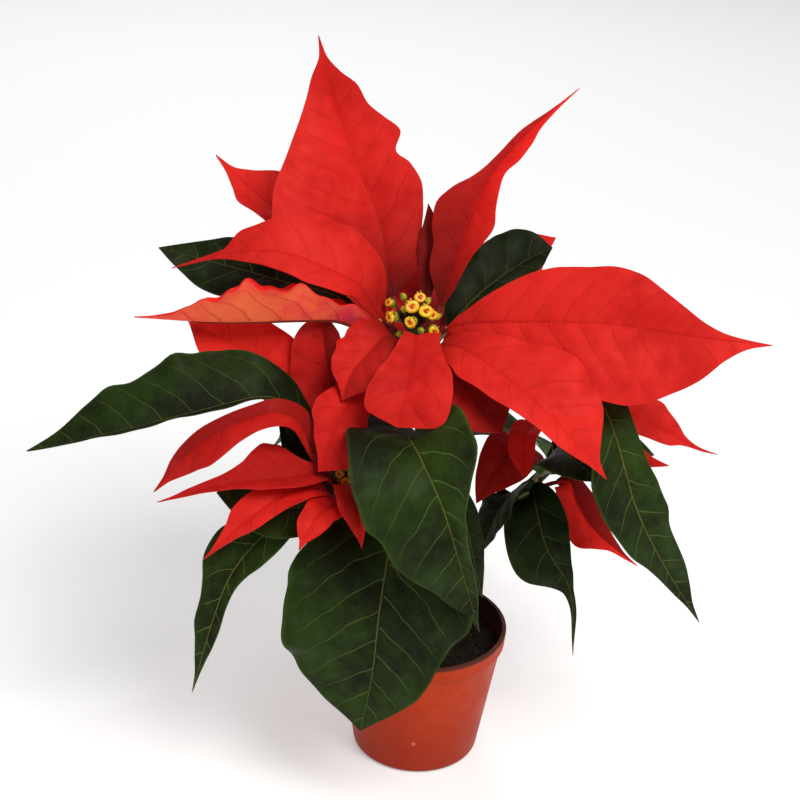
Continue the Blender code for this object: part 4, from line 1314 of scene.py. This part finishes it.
bump = put(t, "ShaderNodeBump", Strength=0.25, Distance=0.0002, Height=height)
shader = t.nodes["Principled BSDF"]
feed(t, shader.inputs["Base Color"], colour)
feed(t, shader.inputs["Normal"], bump.outputs["Normal"])
rough = soft_step(t, stain, 0.3, 0.7, 0.42, 0.54)
feed(t, shader.inputs["Roughness"], calc(t, "MULTIPLY_ADD", inside, 0.35, rough, clamp=True))
shader.inputs["Specular IOR Level"].default_value = 0.12
print("nodes in the plastic:", len(t.nodes))

# %% [markdown]
# ## The pot's shell
#
# The shell is turned from one disc, up the outside, over the lip and down the inside to
# the floor. The foot's corner is worked out as an arc; the band and its lip are a few
# corners measured inwards from the mouth.

# %% Shell of the pot
corner_steps, corner_angle = 8, 10.5
foot_flare = 0.35

profile = [(foot_radius - corner_radius, 0.0)]
for k in range(1, corner_steps + 1):
    a = math.radians(corner_angle * k)
    out = foot_radius - corner_radius * (1 - math.sin(a)) + foot_flare * math.sin(a)
    profile.append((out, corner_radius * (1 - math.cos(a))))
profile += [(wall_radius(z), z) for z in (4.0, 10.0, 20.0, 30.0, 40.0, 50.0, 56.6)]
profile.append((wall_radius(band_bottom) + 0.05, 57.2))
profile += [(mouth_radius - inwards, z) for inwards, z in (
    (1.4, 57.5), (0.75, 57.6), (0.45, 57.95), (0.38, 59.0), (0.1, 63.0), (0.0, 64.2), (0.08, 64.65),
    (0.35, 64.92), (0.7, 65.0), (1.6, 65.0), (2.0, 64.85), (2.25, 64.4), (2.7, 62.0), (3.15, 57.5),
)]
profile += [(wall_radius(z) - wall, z) for z in (56.5, 40.0, 20.0, 6.0)]
profile += [(wall_radius(2.0) - wall - 0.9, 3.0), (wall_radius(2.0) - wall - 2.0, floor_thickness)]
pot = turned("pot_shell", profile, 96, plastic, 35.0)
print("faces of the shell:", len(pot.data.polygons))

# %% [markdown]
# Six drain holes go through the floor. A cylinder is put at each place and taken away
# from the shell with a Boolean modifier.

# %% Drain holes
holes, hole_radius, hole_circle = 6, 2.5, 19
first_hole = 0.12  # as a share of the step from hole to hole

for k in range(holes):
    a = 2 * math.pi * (k + first_hole) / holes
    bpy.ops.object.select_all(action="DESELECT")
    bpy.ops.mesh.primitive_cylinder_add(
        vertices=28, radius=hole_radius * MM, depth=8 * MM,
        location=(hole_circle * math.cos(a) * MM, hole_circle * math.sin(a) * MM, floor_thickness / 2 * MM))
    cutter = bpy.context.object
    hole = pot.modifiers.new("drain", "BOOLEAN")
    hole.operation = "DIFFERENCE"
    hole.solver = "EXACT"
    hole.object = cutter
    bpy.context.view_layer.objects.active = pot
    bpy.ops.object.modifier_apply(modifier="drain")
    bpy.data.objects.remove(cutter)
stand_in(pot, "pot")
print("faces of the pot:", len(pot.data.polygons))

# %% [markdown]
# ## The soil
#
# Potting soil is a dark brown crumble with bits of bark. The plug is turned, and its
# top is pushed up and down a little, in slow waves and by chance.

# %% Soil plug
soil_brown = growing_finish(
    "potting soil", paint(20, 15, 11), paint(42, 32, 23), 150.0, 800.0, (0.98, 0.9), 0.15, (0.9, 0.0012))
bark_brown = growing_finish(
    "bark bits", paint(60, 42, 28), paint(92, 68, 46), 200.0, 900.0, (0.95, 0.85), 0.2, (0.6, 0.0006))
soil_top, wall_clearance = 55.0, 0.4
wave_height, roughness = 0.5, 0.35

inner = wall_radius(soil_top) - wall - wall_clearance
profile = [
    (wall_radius(2.0) - wall - 3.0, floor_thickness + 0.3), (wall_radius(6.0) - wall - wall_clearance, 6.6),
    (inner, soil_top - 1.0), (inner - 1.2, soil_top - 0.2),
]
profile += [(r, soil_top + 0.9 * (1 - r / inner)) for r in np.arange(inner - 2.5, 1.0, -1.6)]
soil = turned("soil_plug", profile, 72, soil_brown, 60.0)
rng = np.random.default_rng(3)
for v in soil.data.vertices:
    if v.co.z > (soil_top - 0.5) * MM:
        x, y = v.co.x / MM, v.co.y / MM
        wave = wave_height * math.sin(x * 0.55 + 1.0) * math.sin(y * 0.47)
        v.co.z += (wave + rng.uniform(-roughness, roughness)) * MM
print("faces of the plug:", len(soil.data.polygons))

# %% [markdown]
# A few hundred lumps of twenty faces lie on the soil, squashed and turned by chance.
# None of them stands in the stem or in the wall, and every sixth is a bit of bark.

# %% Lumps
tries, spread = 420, 35.6
stem_at, stem_clearance = (0.0, 3.0), 6.5

crumbs = []
for k in range(tries):
    r, a = spread * math.sqrt(rng.uniform(0.0, 1.0)), rng.uniform(0, 2 * math.pi)
    size = rng.uniform(0.5, 1.35)
    x, y = r * math.cos(a), r * math.sin(a)
    if math.hypot(x - stem_at[0], y - stem_at[1]) < stem_clearance or r + size > inner:
        continue
    bpy.ops.mesh.primitive_ico_sphere_add(
        subdivisions=1, radius=size * MM, location=(x * MM, y * MM, (soil_top + 0.55 + 0.2 * size) * MM),
        rotation=(rng.uniform(0, 3), rng.uniform(0, 3), rng.uniform(0, 3)))
    crumb = bpy.context.object
    crumb.scale = (1.0, rng.uniform(0.55, 0.9), rng.uniform(0.4, 0.8))
    crumb.data.materials.append(bark_brown if k % 6 == 0 else soil_brown)
    crumbs.append(crumb)
soil = joined("soil_plug", [soil] + crumbs)
stand_in(settled(soil), "soil")
print("lumps on the soil:", len(crumbs))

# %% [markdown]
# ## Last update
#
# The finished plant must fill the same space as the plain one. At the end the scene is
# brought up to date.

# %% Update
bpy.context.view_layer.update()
